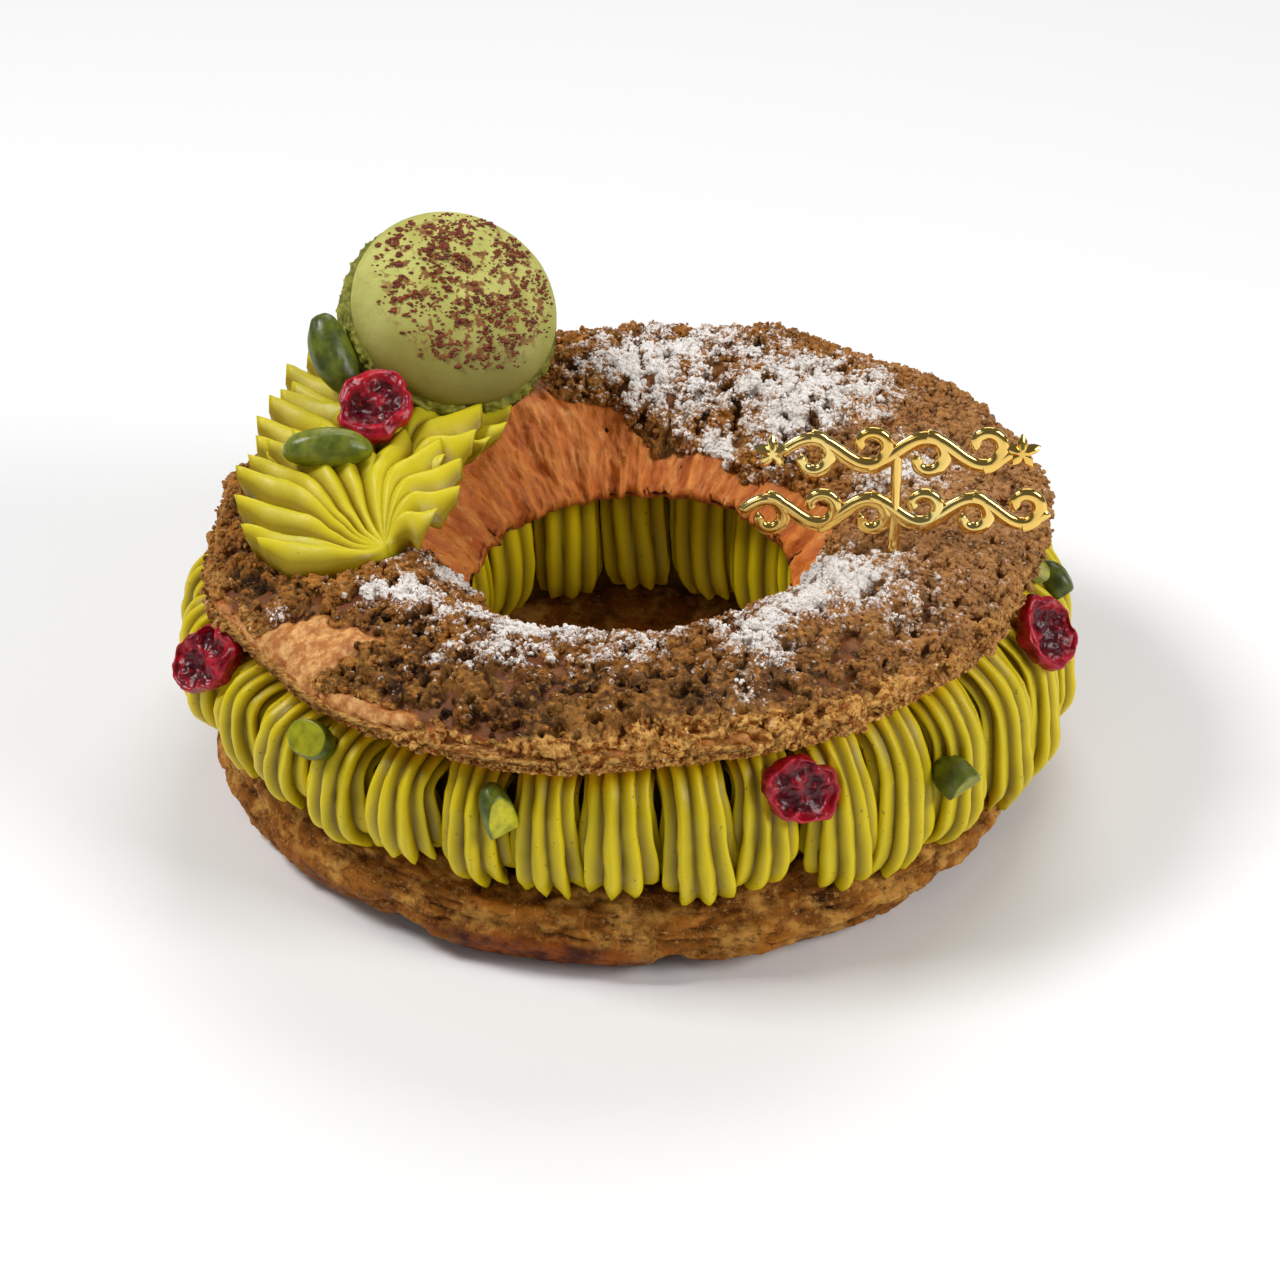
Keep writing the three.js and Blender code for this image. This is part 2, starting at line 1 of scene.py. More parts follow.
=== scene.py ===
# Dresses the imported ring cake: piped cream, choux, sugar crust, macaron, nuts, berries and gilt scrolls.
import math
import bpy
import numpy as np
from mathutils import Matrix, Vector


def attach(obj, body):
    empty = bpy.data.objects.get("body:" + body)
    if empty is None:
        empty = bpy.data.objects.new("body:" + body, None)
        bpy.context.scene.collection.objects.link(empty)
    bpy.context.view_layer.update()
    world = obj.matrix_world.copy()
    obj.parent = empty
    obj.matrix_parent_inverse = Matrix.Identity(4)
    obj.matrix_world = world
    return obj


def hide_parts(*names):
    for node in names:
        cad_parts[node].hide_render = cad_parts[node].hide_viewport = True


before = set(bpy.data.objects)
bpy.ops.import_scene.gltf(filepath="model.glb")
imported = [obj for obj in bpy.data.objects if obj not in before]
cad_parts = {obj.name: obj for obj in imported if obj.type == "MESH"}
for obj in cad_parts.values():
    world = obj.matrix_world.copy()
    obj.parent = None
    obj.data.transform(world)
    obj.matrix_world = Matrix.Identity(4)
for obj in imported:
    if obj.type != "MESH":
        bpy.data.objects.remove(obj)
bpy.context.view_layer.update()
print("frame loaded,", len(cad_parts), "nodes")

mm = 0.001
shift = np.array([-0.2, 0.2, 0.0])      # from the cake's own axis to the frame, mm
turn = 2 * math.pi


# camera: aim and distance in mm, near and far clip in m

camera = {"aim": (2.2, 0.2, 19.0), "distance": 575.0, "down": 34.6, "lens": 90.0, "sensor": 36.0,
          "clip": (0.01, 20)}


def makeCamera():
    # stands back from the aim by the distance, raised by the angle at which it looks down
    down = math.radians(camera["down"])
    back = Vector((0, -math.cos(down), math.sin(down)))
    data = bpy.data.cameras.new("camera")
    data.lens = camera["lens"]
    data.sensor_width = camera["sensor"]
    data.clip_start, data.clip_end = camera["clip"]
    eye = bpy.data.objects.new("camera", data)
    eye.location = (Vector(camera["aim"]) + camera["distance"] * back) * mm
    eye.rotation_euler = (-back).to_track_quat("-Z", "Y").to_euler()
    bpy.context.scene.collection.objects.link(eye)
    bpy.context.scene.camera = eye


makeCamera()


# numbers and noise

fastSine = {"step": 127.1, "start": 311.7, "height": 43758.5453}
bitMix = {"index": (374761393, 668265263, 1103515245), "seed": 974634777, "fold": 1274126177}


def chance(n):
    # the fraction of a fast, tall sine, made to run from -1 to 1: one fixed value for each whole number
    s = np.sin(np.asarray(n) * fastSine["step"] + fastSine["start"]) * fastSine["height"]
    return 2 * (s - np.floor(s)) - 1


def hashed(cells, seed):
    # a cell's three indices and a seed, each times a large number, with the bits folded twice: -1 to 1
    n = sum(cells[..., i] * bitMix["index"][i] for i in range(3)) + seed * bitMix["seed"]
    n = (n ^ (n >> 13)) * bitMix["fold"]
    n = n ^ (n >> 16)
    return (n & 0xFFFFF) / 0x7FFFF - 1


def softNoise(points, size, seed):
    # fixed values at the corners of cubes of one size, blended between the eight corners with 3t^2 - 2t^3
    q = points / size
    base = np.floor(q).astype(np.int64)
    t = q - base
    t = t * t * (3 - 2 * t)
    total = np.zeros(points.shape[:-1])
    for corner in range(8):
        step = np.array([corner & 1, corner >> 1 & 1, corner >> 2])
        total += np.prod(np.where(step == 1, t, 1 - t), axis=-1) * hashed(base + step, seed)
    return total


def layered(points, size, seed, layers=3):
    # soft noise at one size and at each half of it, each weighing half of the last
    return sum(softNoise(points, size / 2 ** i, seed + i) / 2 ** i for i in range(layers))


def pebbles(points, size, seed):
    # distance to the nearest of one jittered point per cube, over the cube's size: 0 at a pebble's middle
    q = points / size
    base = np.floor(q).astype(np.int64)
    nearest = np.full(points.shape[:-1], 9.0)
    for i in range(27):
        cell = base + np.array([i % 3 - 1, i // 3 % 3 - 1, i // 9 - 1])
        jitter = np.stack([hashed(cell, seed + k) for k in range(3)], axis=-1)
        nearest = np.minimum(nearest, np.linalg.norm(cell + 0.5 + 0.45 * jitter - q, axis=-1))
    return nearest


def smooth(t):
    # 3t^2 - 2t^3, level before 0 and after 1
    t = np.clip(t, 0, 1)
    return t * t * (3 - 2 * t)


def mix(a, b, t):
    # a where t is 0 and b where it is 1
    return a + (b - a) * t


def bell(angle, centre, width):
    # exp(-(x / width)^2), where x is the shorter way round from the centre, in degrees
    off = np.arctan2(np.sin(angle - np.radians(centre)), np.cos(angle - np.radians(centre)))
    return np.exp(-(off / np.radians(width)) ** 2)


def bells(angle, rows):
    # a sum of bells, each with its amount, centre and width
    return sum(amount * bell(angle, centre, width) for amount, centre, width in rows)


def waves(angle, rows):
    # a sum of sines, each with its amount, its count in one turn and its offset
    return sum(amount * np.sin(count * angle + offset) for amount, count, offset in rows)


def ringAngles(count):
    # evenly spaced angles round the ring, one to a row
    return (np.arange(count) / count * turn)[:, None]


def steps(count):
    # evenly spaced from 0 to just before 1, one to a column
    return np.linspace(0, 1, count, endpoint=False)[None]


def splinePath(controls, t):
    # a curve through all its control points, whose slope at each is half the way between its neighbours
    count = controls.shape[-2]
    padded = np.concatenate([2 * controls[..., :1, :] - controls[..., 1:2, :], controls,
                             2 * controls[..., -1:, :] - controls[..., -2:-1, :]], axis=-2)
    place = np.clip(t, 0, 1) * (count - 1)
    k = np.minimum(np.floor(place).astype(int), count - 2)
    u = (place - k)[:, None]
    p0, p1, p2, p3 = (padded[..., k + i, :] for i in range(4))
    return 0.5 * (2 * p1 + (p2 - p0) * u + (2 * p0 - 5 * p1 + 4 * p2 - p3) * u ** 2
                  + (3 * p1 - p0 - 3 * p2 + p3) * u ** 3)


def polar(angle, radius, height):
    # the point at an angle round the upright axis, a distance from it and a height
    angle, radius, height = np.broadcast_arrays(angle, radius, height)
    return np.stack([radius * np.cos(angle), radius * np.sin(angle), height], axis=-1)


def onRing(degrees, radius, height):
    # the same for one place, with the angle in degrees
    return tuple(polar(math.radians(degrees), radius, height))


def heading(degrees):
    # the level way at so many degrees, of length 1
    return np.array([np.cos(np.radians(degrees)), np.sin(np.radians(degrees)), 0])


def turnTo(way):
    # the shortest turn that carries +Z to one way, as a matrix: I + V + V^2 / (1 + cos)
    x, y, z = np.array(way) / np.linalg.norm(way)
    v = np.array([[0, 0, x], [0, 0, y], [-x, -y, 0]])
    return np.eye(3) + v + v @ v / (1 + z)


# meshes

def gridFaces(copies, rows, columns, closedRows):
    # joins each grid point to its neighbours: columns wrap round; rows wrap too, or end in fans at poles
    index = np.arange(copies * rows * columns).reshape(copies, rows, columns)
    beside = np.roll(index, -1, axis=2)
    if closedRows:
        quads = [index, beside, np.roll(beside, -1, axis=1), np.roll(index, -1, axis=1)]
        return np.stack(quads, axis=-1).reshape(-1, 4), np.zeros((0, 3), int)
    quads = [index[:, :-1], beside[:, :-1], beside[:, 1:], index[:, 1:]]
    pole = index.size + np.arange(2 * copies).reshape(copies, 2, 1)
    first, last = (np.broadcast_to(pole[:, k], (copies, columns)) for k in (0, 1))
    fans = [np.stack([first, beside[:, 0], index[:, 0]], axis=-1),
            np.stack([last, index[:, -1], beside[:, -1]], axis=-1)]
    return np.stack(quads, axis=-1).reshape(-1, 4), np.concatenate(fans).reshape(-1, 3)


def withPoles(grid, closedRows):
    # the grid's values in one list, then the mean of each first and last row where those end in a pole
    flat = grid.reshape(-1, *grid.shape[3:])
    if closedRows:
        return flat
    ends = np.stack([grid[:, 0].mean(axis=1), grid[:, -1].mean(axis=1)], axis=1)
    return np.concatenate([flat, ends.reshape(-1, *grid.shape[3:])])


def makePiece(name, points, faces, material, nodes, marks, flat):
    # writes points (mm, about the cake's axis) and faces to a mesh, turned so that its volume is positive
    points = (points + shift) * mm
    quads, triangles = faces
    corners = np.concatenate([quads[:, [0, 1, 2]], quads[:, [0, 2, 3]], triangles])
    a, b, c = (points[corners[:, k]] for k in range(3))
    if np.einsum("ij,ij->i", a, np.cross(b, c)).sum() < 0:
        quads, triangles = quads[:, ::-1], triangles[:, ::-1]
    mesh = bpy.data.meshes.new(name)
    mesh.from_pydata(points.tolist(), [], quads.tolist() + triangles.tolist())
    mesh.polygons.foreach_set("use_smooth", [not flat] * len(mesh.polygons))
    for mark, numbers in marks.items():
        layer = mesh.attributes.new(mark, "FLOAT", "POINT")
        layer.data.foreach_set("value", np.ascontiguousarray(numbers, np.float32))
    mesh.materials.append(material)
    piece = bpy.data.objects.new(name, mesh)
    bpy.context.scene.collection.objects.link(piece)
    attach(piece, "root")
    if nodes:
        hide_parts(*nodes)
    print(name, len(corners), "triangles")


def gridPiece(name, points, material, nodes, marks=None, closedRows=True, flat=False):
    # a piece from one or more grids of points: copy, row, column; a mark has a number for each point
    copies, rows, columns = points.shape[:3]
    marks = {mark: withPoles(np.broadcast_to(numbers, points.shape[:3]), closedRows)
             for mark, numbers in (marks or {}).items()}
    faces = gridFaces(copies, rows, columns, closedRows)
    makePiece(name, withPoles(points, closedRows), faces, material, nodes, marks, flat)


def gridNormals(points, closedRows=True):
    # cross product of the differences along rows and columns, turned away from the middle of each loop
    if closedRows:
        along = np.roll(points, -1, axis=-3) - np.roll(points, 1, axis=-3)
    else:
        along = np.gradient(points, axis=-3)
    around = np.roll(points, -1, axis=-2) - np.roll(points, 1, axis=-2)
    normal = np.cross(around, along)
    normal /= np.maximum(np.linalg.norm(normal, axis=-1, keepdims=True), 1e-9)
    away = points - points.mean(axis=-2, keepdims=True)
    return normal * np.sign((normal * away).sum(axis=(-3, -2, -1), keepdims=True))


# a twenty-sided grain: its corners are about one unit from the middle

golden = (1 + 5 ** 0.5) / 2
grainPoints = np.array([[-1, golden, 0], [1, golden, 0], [-1, -golden, 0], [1, -golden, 0],
                        [0, -1, golden], [0, 1, golden], [0, -1, -golden], [0, 1, -golden],
                        [golden, 0, -1], [golden, 0, 1], [-golden, 0, -1], [-golden, 0, 1]]) / 1.9
grainFaces = np.array([
    [0, 11, 5], [0, 5, 1], [0, 1, 7], [0, 7, 10], [0, 10, 11], [1, 5, 9], [5, 11, 4], [11, 10, 2],
    [10, 7, 6], [7, 1, 8], [3, 9, 4], [3, 4, 2], [3, 2, 6], [3, 6, 8], [3, 8, 9], [4, 9, 5], [2, 4, 11],
    [6, 2, 10], [8, 6, 7], [9, 8, 1]])
grainShape = {"rough": 0.28, "stretch": (1, 0.85, 0.7)}


def scatterGrains(name, places, sizes, material, seed, squash=1.0, marks=None, dusted=0.0):
    # one grain at each place, turned at random, each corner pushed in or out at random
    draw = np.random.default_rng(seed)
    count, corners = len(places), len(grainPoints)
    spin, _ = np.linalg.qr(draw.normal(size=(count, 3, 3)))
    spin[:, :, 0] *= np.sign(np.linalg.det(spin))[:, None]
    rough = 1 + grainShape["rough"] * draw.uniform(-1, 1, (count, corners, 1))
    grains = np.einsum("nij,nkj->nki", spin, grainPoints[None] * rough * np.array(grainShape["stretch"]))
    grains[..., 2] *= squash
    points = (places[:, None] + grains * sizes[:, None, None]).reshape(-1, 3)
    faces = (grainFaces[None] + corners * np.arange(count)[:, None, None]).reshape(-1, 3)
    spread = {mark: np.repeat(numbers, corners) for mark, numbers in (marks or {}).items()}
    if dusted:
        # sugar falls from above: a grain's upper corners have more of it
        spread["sugar"] = spread["sugar"] + dusted * np.clip(grains[..., 2], -1, 1).ravel()
    makePiece(name, points, (np.zeros((0, 4), int), faces), material, (), spread, True)


# materials

def paint(red, green, blue):
    # screen colour from 0 to 255 made linear
    channels = [v / 255 for v in (red, green, blue)]
    return (*[v / 12.92 if v <= 0.04045 else ((v + 0.055) / 1.055) ** 2.4 for v in channels], 1.0)


class Finish:
    # a material with short calls for the nodes that the finishes below share
    def __init__(self, name, roughness=0.5, **settings):
        self.material = bpy.data.materials.new(name)
        self.material.use_nodes = True
        self.tree = self.material.node_tree
        self.shader = next(n for n in self.tree.nodes if n.type == "BSDF_PRINCIPLED")
        self.shader.inputs["Roughness"].default_value = roughness
        for socket, value in settings.items():
            self.shader.inputs[socket.replace("_", " ")].default_value = value
        self.place = self.node("ShaderNodeTexCoord").outputs["Object"]

    def node(self, kind, inputs=None, **settings):
        # a node with its inputs set, or linked where the value is another node's output
        made = self.tree.nodes.new(kind)
        for name, value in settings.items():
            setattr(made, name, value)
        for socket, value in (inputs or {}).items():
            if isinstance(value, bpy.types.NodeSocket):
                self.tree.links.new(value, made.inputs[socket])
            else:
                made.inputs[socket].default_value = value
        return made

    def mark(self, name):
        # a number that the mesh carries at each point
        return self.node("ShaderNodeAttribute", attribute_name=name).outputs["Fac"]

    def noise(self, size, detail=3.0, roughness=0.55, place=None):
        # noise whose features are about this many millimetres across
        inputs = {"Vector": place or self.place, "Scale": 1000.0 / size}
        inputs.update({"Detail": detail, "Roughness": roughness})
        return self.node("ShaderNodeTexNoise", inputs).outputs["Fac"]

    def range(self, value, low, high, toLow=0.0, toHigh=1.0):
        # a value carried from one range to another and held inside it
        inputs = {"Value": value, "From Min": low, "From Max": high, "To Min": toLow, "To Max": toHigh}
        return self.node("ShaderNodeMapRange", inputs, clamp=True).outputs["Result"]

    def math(self, operation, a, b):
        return self.node("ShaderNodeMath", {0: a, 1: b}, operation=operation).outputs["Value"]

    def blend(self, amount, a, b):
        # colour a where the amount is 0 and colour b where it is 1
        made = self.node("ShaderNodeMix", data_type="RGBA")
        for index, value in ((0, amount), (6, a), (7, b)):
            if isinstance(value, bpy.types.NodeSocket):
                self.tree.links.new(value, made.inputs[index])
            else:
                made.inputs[index].default_value = value
        return made.outputs[2]

    def flecks(self, tone, rows):
        # lays screen colours over a tone, each by up to its amount where noise of its own size is high
        for colour, size, detail, roughness, low, high, amount in rows:
            share = self.range(self.noise(size, detail, roughness), low, high, 0, amount)
            tone = self.blend(share, tone, paint(*colour))
        return tone

    def mottle(self, first, second, size, detail, low, high, roughness=0.55):
        # one screen colour where noise is low and another where it is high
        share = self.range(self.noise(size, detail, roughness), low, high)
        return self.blend(share, paint(*first), paint(*second))

    def colour(self, value):
        self.tree.links.new(value, self.shader.inputs["Base Color"])

    def rough(self, value):
        self.tree.links.new(value, self.shader.inputs["Roughness"])

    def bump(self, height, depth, strength=1.0):
        # relief of so many millimetres for a height from 0 to 1
        made = self.node("ShaderNodeBump", {"Height": height, "Strength": strength, "Distance": depth * mm})
        self.tree.links.new(made.outputs["Normal"], self.shader.inputs["Normal"])


def creamFinish(name, crest, shade, specks=0.72):
    # the crest's colour on the ridges and painted shade, darkening towards the shade's colour, down in the
    # grooves, with dark specks
    f = Finish(name, 0.4, Specular_IOR_Level=0.32, Subsurface_Weight=0.18,
               Subsurface_Radius=(1.0, 0.7, 0.15), Subsurface_Scale=0.0025)
    broad = f.range(f.noise(14, 2), 0.3, 0.7)
    body = f.blend(broad, crest, tuple(0.86 * v for v in crest[:3]) + (1.0,))
    # painted shade: the groove mark darkens the grooves towards the shade colour
    body = f.blend(f.range(f.mark("groove"), 0.12, 0.95, 0, 0.95), body, shade)
    f.colour(f.flecks(body, [((96, 70, 12), 0.9, 1, 0.4, specks, specks + 0.05, 0.55)]))
    f.rough(f.range(f.noise(3, 3), 0.3, 0.7, 0.34, 0.52))
    f.bump(f.noise(0.7, 4, 0.6), 0.05)
    return f.material


def chouxFinish():
    # fine fibres run down the torn wall: their noise is read at the place that three marks make up
    f = Finish("baked choux", 0.42, Specular_IOR_Level=0.42, Subsurface_Weight=0.08,
               Subsurface_Radius=(1.0, 0.5, 0.2), Subsurface_Scale=0.001)
    place = f.node("ShaderNodeCombineXYZ", {axis: f.mark("fibre" + axis) for axis in "XYZ"})
    fibre = f.noise(2.2, 5, 0.75, place.outputs["Vector"])
    tone = f.blend(f.range(f.mark("streak"), 0.1, 0.9), paint(196, 96, 24), paint(240, 148, 62))
    tone = f.blend(f.range(fibre, 0.46, 0.3, 0, 0.85), tone, paint(140, 56, 8))
    tone = f.blend(f.range(fibre, 0.54, 0.68, 0, 0.8), tone, paint(252, 186, 104))
    patch = f.range(f.noise(7, 3), 0.42, 0.7)
    tone = f.blend(f.math("MULTIPLY", patch, 0.5), tone, paint(228, 122, 36))
    # painted shade: the choux under the crackled crust is dark brown where it shows through the crust's pits
    tone = f.blend(f.mark("brown"), tone, paint(58, 29, 7))
    loose = f.mottle((176, 106, 42), (242, 190, 116), 2.2, 5, 0.42, 0.6, 0.7)
    tone = f.blend(f.mark("pale"), tone, loose)
    f.colour(f.flecks(tone, [((112, 54, 14), 0.6, 4, 0.7, 0.58, 0.7, 0.35)]))
    f.rough(f.range(f.noise(2, 3), 0.3, 0.7, 0.32, 0.6))
    f.bump(f.math("ADD", fibre, f.math("MULTIPLY", f.noise(0.7, 5, 0.7), 0.6)), 0.45)
    return f.material


def crackleFinish():
    # dark cracks as painted shade in the hollows and paler crumbs, toasted at the fringe, with painted light
    # where the mark says, under powdered sugar
    f = Finish("crackled sugar crust", 0.5, Specular_IOR_Level=0.14)
    # the crest mark paints shade: dark in pits, crevices and bursts and at the front, paler on crumbs and
    # clods and at the right
    tone = f.blend(f.range(f.mark("crest"), 0.12, 0.85), paint(34, 13, 1), paint(168, 108, 42))
    tone = f.flecks(tone, [((104, 60, 20), 6, 3, 0.55, 0.42, 0.62, 0.55),
                           ((202, 140, 62), 10, 3, 0.55, 0.48, 0.66, 0.4),
                           ((216, 136, 48), 1.8, 3, 0.55, 0.56, 0.66, 0.35)])
    toasted = f.mottle((152, 80, 20), (250, 194, 104), 1.3, 4, 0.42, 0.58, 0.7)
    tone = f.blend(f.range(f.mark("fringe"), 0.15, 0.9, 0, 0.85), tone, toasted)
    grain = f.noise(0.9, 3, 0.6)
    tone = f.blend(f.range(grain, 0.54, 0.68, 0, 0.4), tone, paint(214, 158, 84))
    # painted light: a paler tone laid over the right side
    tone = f.blend(f.math("MULTIPLY", f.mark("tan"), 0.42), tone, paint(204, 160, 114))
    tone = f.blend(f.range(grain, 0.45, 0.32, 0, 0.8), tone, paint(44, 19, 3))
    own = f.mark("sugar")
    dust = f.math("ADD", own, f.range(f.noise(0.6, 4, 0.7), 0.28, 0.72, -0.45, 0.45))
    dust = f.math("ADD", dust, f.range(f.noise(2.6, 3, 0.6), 0.3, 0.7, -0.35, 0.35))
    white = f.math("MULTIPLY", f.range(dust, 0.46, 0.84), f.range(own, 0.05, 0.3))
    f.colour(f.blend(white, tone, paint(246, 240, 234)))
    f.bump(f.noise(0.45, 5, 0.7), 0.25)
    return f.material


def crustFinish():
    # dark in the creases as painted shade, mottled on the folds, with a smooth caramel glaze where the mark
    # says
    f = Finish("lower crust", 0.5, Specular_IOR_Level=0.12)
    tone = f.blend(f.range(f.mark("crest"), 0.15, 0.85), paint(58, 25, 3), paint(170, 104, 32))
    tone = f.flecks(tone, [((212, 156, 74), 6, 4, 0.6, 0.48, 0.62, 0.8),
                           ((88, 40, 5), 2.4, 5, 0.65, 0.5, 0.62, 0.65),
                           ((232, 176, 96), 1.2, 4, 0.7, 0.56, 0.66, 0.5)])
    glazed = f.mottle((80, 30, 0), (150, 74, 6), 5, 4, 0.4, 0.6, 0.6)
    f.colour(f.blend(f.mark("glaze"), tone, glazed))
    f.rough(f.range(f.mark("glaze"), 0, 1, 0.62, 0.45))
    pores = f.math("ADD", f.noise(0.8, 5, 0.65), f.range(f.noise(1.6, 4, 0.7), 0.42, 0.36))
    f.bump(pores, 0.4)
    return f.material


def plainFinish(name, low, high, size, roughness, relief=0.05, reliefSize=0.8):
    # two screen colours mixed by noise, with a fine bump
    f = Finish(name, roughness)
    f.colour(f.mottle(low, high, size, 4, 0.35, 0.65, 0.6))
    f.bump(f.noise(reliefSize, 4, 0.6), relief)
    return f.material


# the last colour of each is the painted shade down in the grooves
creamMaterial = creamFinish("pistachio cream", paint(228, 205, 12), paint(104, 74, 0))
pipedMaterial = creamFinish("piped pistachio cream", paint(220, 203, 32), paint(152, 126, 4), 0.8)
chouxMaterial = chouxFinish()
crackleMaterial = crackleFinish()
crustMaterial = crustFinish()
print("first materials made")


# outlines shared by lid, cream and crust, mm

hole = {"x": 1, "y": -5, "lip": 27.2, "cream": 31.5, "crust": 27.5}
lid = {"reachX": 72.6, "reachFront": 69.6, "reachBack": 65.5,
       "waver": 1.1, "waves": ((0.6, 6, 0.5), (0.5, 11, 2)),
       "crestRadius": 49.5, "crestHeight": 51.2, "backDrop": 0.8, "crestWave": (0.4, 3, 0), "funnel": 1.9,
       "edgeHeight": 41.6, "edgeTilt": 0.045, "edgeThick": 2.6, "lipHeight": 36.5, "lipThick": 1.6}
crust = {"radius": 73.4, "oval": 1.5, "wave": (0.6, 5, 1), "dent": (2, -138, 18), "roll": 7.5,
         "innerTop": 5.2, "innerInset": 3}


def holeReach(angle, radius):
    # distance from the axis to a circle round the hole's centre
    along = hole["x"] * np.cos(angle) + hole["y"] * np.sin(angle)
    aside = hole["x"] * np.sin(angle) - hole["y"] * np.cos(angle)
    return along + np.sqrt(radius ** 2 - aside ** 2)


def lidReach(angle):
    # an oval through the reach at the sides, front and back, with two small waves round it
    ends = np.where(np.sin(angle) > 0, lid["reachBack"], lid["reachFront"])
    return mix(ends, lid["reachX"], np.cos(angle) ** 2) + lid["waver"] * waves(angle, lid["waves"])


def undersideHeight(angle, radius):
    # a cone from the rim in to the lip, tilted as a whole
    lip, rim = holeReach(angle, hole["lip"]), lidReach(angle)
    cone = mix(lid["lipHeight"] - lid["lipThick"], lid["edgeHeight"], (radius - lip) / (rim - lip))
    return cone + lid["edgeTilt"] * radius * np.cos(angle)


def lidTop(angle, radius):
    # a quarter ellipse from the rim to the crest, then a power curve down to the lip
    crest = lid["crestHeight"] - lid["backDrop"] * np.maximum(0, np.sin(angle))
    crest = crest + waves(angle, [lid["crestWave"]])
    out = np.clip((radius - lid["crestRadius"]) / (lidReach(angle) - lid["crestRadius"]), 0, 1)
    outside = mix(lid["edgeHeight"] + lid["edgeThick"], crest, np.sqrt(1 - out ** 2))
    lip = holeReach(angle, hole["lip"])
    inward = np.clip((lid["crestRadius"] - radius) / (lid["crestRadius"] - lip), 0, 1)
    inside = mix(crest, lid["lipHeight"], inward ** lid["funnel"])
    return np.where(radius >= lid["crestRadius"], outside, inside) + lid["edgeTilt"] * radius * np.cos(angle)


def crustReach(angle):
    # an oval with one small wave and one dent
    oval = crust["radius"] + crust["oval"] * np.cos(2 * angle)
    return oval + waves(angle, [crust["wave"]]) - bells(angle, [crust["dent"]])


def bedHeight(angle, radius):
    # the cone on which the cream lies
    outer, inner = crustReach(angle) - crust["roll"], holeReach(angle, hole["crust"] + crust["innerInset"])
    return mix(crust["innerTop"], 2 * crust["roll"], (radius - inner) / (outer - inner))


# lower crust

crustLook = {
    "around": 640, "roll": 64, "bed": 26, "down": 12, "base": 16, "holeRound": 1.6,
    "fold": 1.15, "foldSize": 6.0, "crease": 0.75, "creaseSize": 6.5, "bubble": 0.3, "bubbleSize": 2.4,
    "bedRough": (0.5, 2.2), "rollRough": (0.16, 1.3),
    # each as amount, angle and width in degrees
    "glaze": ((1.6, -102, 14), (0.7, -140, 10)), "glazeTop": 9, "glazeStep": 0.7,
    "notch": ((3.4, -84, 1.7), (1.8, -121, 3)), "lift": ((2.5, -84, 6), (2.2, -121, 6))}


def makeCrust():
    # the section runs up round the outer edge, in along the bed, down the hole and out along the flat base
    look = crustLook
    angle = ringAngles(look["around"])
    outer, holeEdge = crustReach(angle) - crust["roll"], holeReach(angle, hole["crust"])
    up = np.radians(np.linspace(-90, 90, look["roll"], endpoint=False))[None]
    rollR, rollZ = outer + crust["roll"] * np.cos(up), crust["roll"] * (1 + np.sin(up)) + 0 * angle
    bedR = mix(outer, holeEdge + crust["innerInset"], steps(look["bed"]))
    t = steps(look["down"])
    downR = holeEdge + crust["innerInset"] * (1 - t) ** 2 + look["holeRound"] * t ** 3
    downZ = crust["innerTop"] * (1 - t) + 0 * angle
    baseR = mix(holeEdge + look["holeRound"], outer, steps(look["base"]))
    radius = np.concatenate([rollR, bedR, downR, baseR], axis=1)
    height = np.concatenate([rollZ, bedHeight(angle, bedR), downZ, 0 * baseR], axis=1)
    points = polar(angle, radius, height)[None]
    # folds run round the ring, because the noise is read with the height stretched and the plan shrunk
    flat = np.stack([radius * np.cos(angle), radius * np.sin(angle), 2.6 * height], axis=-1)[None]
    fold = layered(flat * np.array([0.55, 0.55, 1.0]), look["foldSize"], 11, 3)
    crease = 1 - np.abs(layered(flat * np.array([0.7, 0.7, 1.1]), look["creaseSize"], 29, 3)) * 2.2
    fold = fold - look["crease"] * np.clip(crease, 0, 1) ** 3
    bubble = 1 - pebbles(flat, look["bubbleSize"], 17)
    onRoll = smooth(height / 3) * smooth((radius - outer + 14) / 10)
    # a glaze has run down over the folds and hides them; it ends in a small step
    glaze = bells(angle, look["glaze"]) * smooth((look["glazeTop"] - height) / 3) * (radius > outer)
    glaze = glaze[None] * smooth(1.1 - 0.7 * fold)
    covered = np.clip(glaze, 0, 1)
    depth = (look["fold"] * fold + look["bubble"] * bubble) * onRoll * (1 - 0.75 * covered)
    depth += look["glazeStep"] * smooth((glaze - 0.25) / 0.2)
    amount, size = look["bedRough"]
    depth += amount * layered(flat, size, 23, 2) * (1 - onRoll) * (height > 0.2)
    amount, size = look["rollRough"]
    depth += amount * layered(flat, size, 27, 2) * onRoll * (1 - 0.6 * covered)
    # two notches in the foot of the edge, where the base is lifted off the floor
    notch = bells(angle, look["notch"]) * smooth((6 - height) / 3) * smooth(height / 0.4)
    glaze = glaze * (1 - 0.8 * np.clip(notch / 2, 0, 1))
    points = points + gridNormals(points) * (depth - 0.2 - notch * (radius > outer))[..., None]
    under = bells(angle, look["lift"]) * smooth((radius - outer + 3) / 3)
    points[..., 2] = np.maximum(points[..., 2], (under * smooth((4 - height) / 4))[None])
    # the crest mark paints shade: darker in the creases between folds and bubbles, and a painted shadow in
    # the notches
    marks = {"crest": 0.5 + 0.35 * fold + 0.4 * bubble - 0.4 * notch, "glaze": np.clip(glaze, 0, 1)}
    gridPiece("lowerCrust", points, crustMaterial, ["crust_bottom"], marks)


# what is pressed into the cream round the ring: its place, the way it faces, its bed's radius and depth

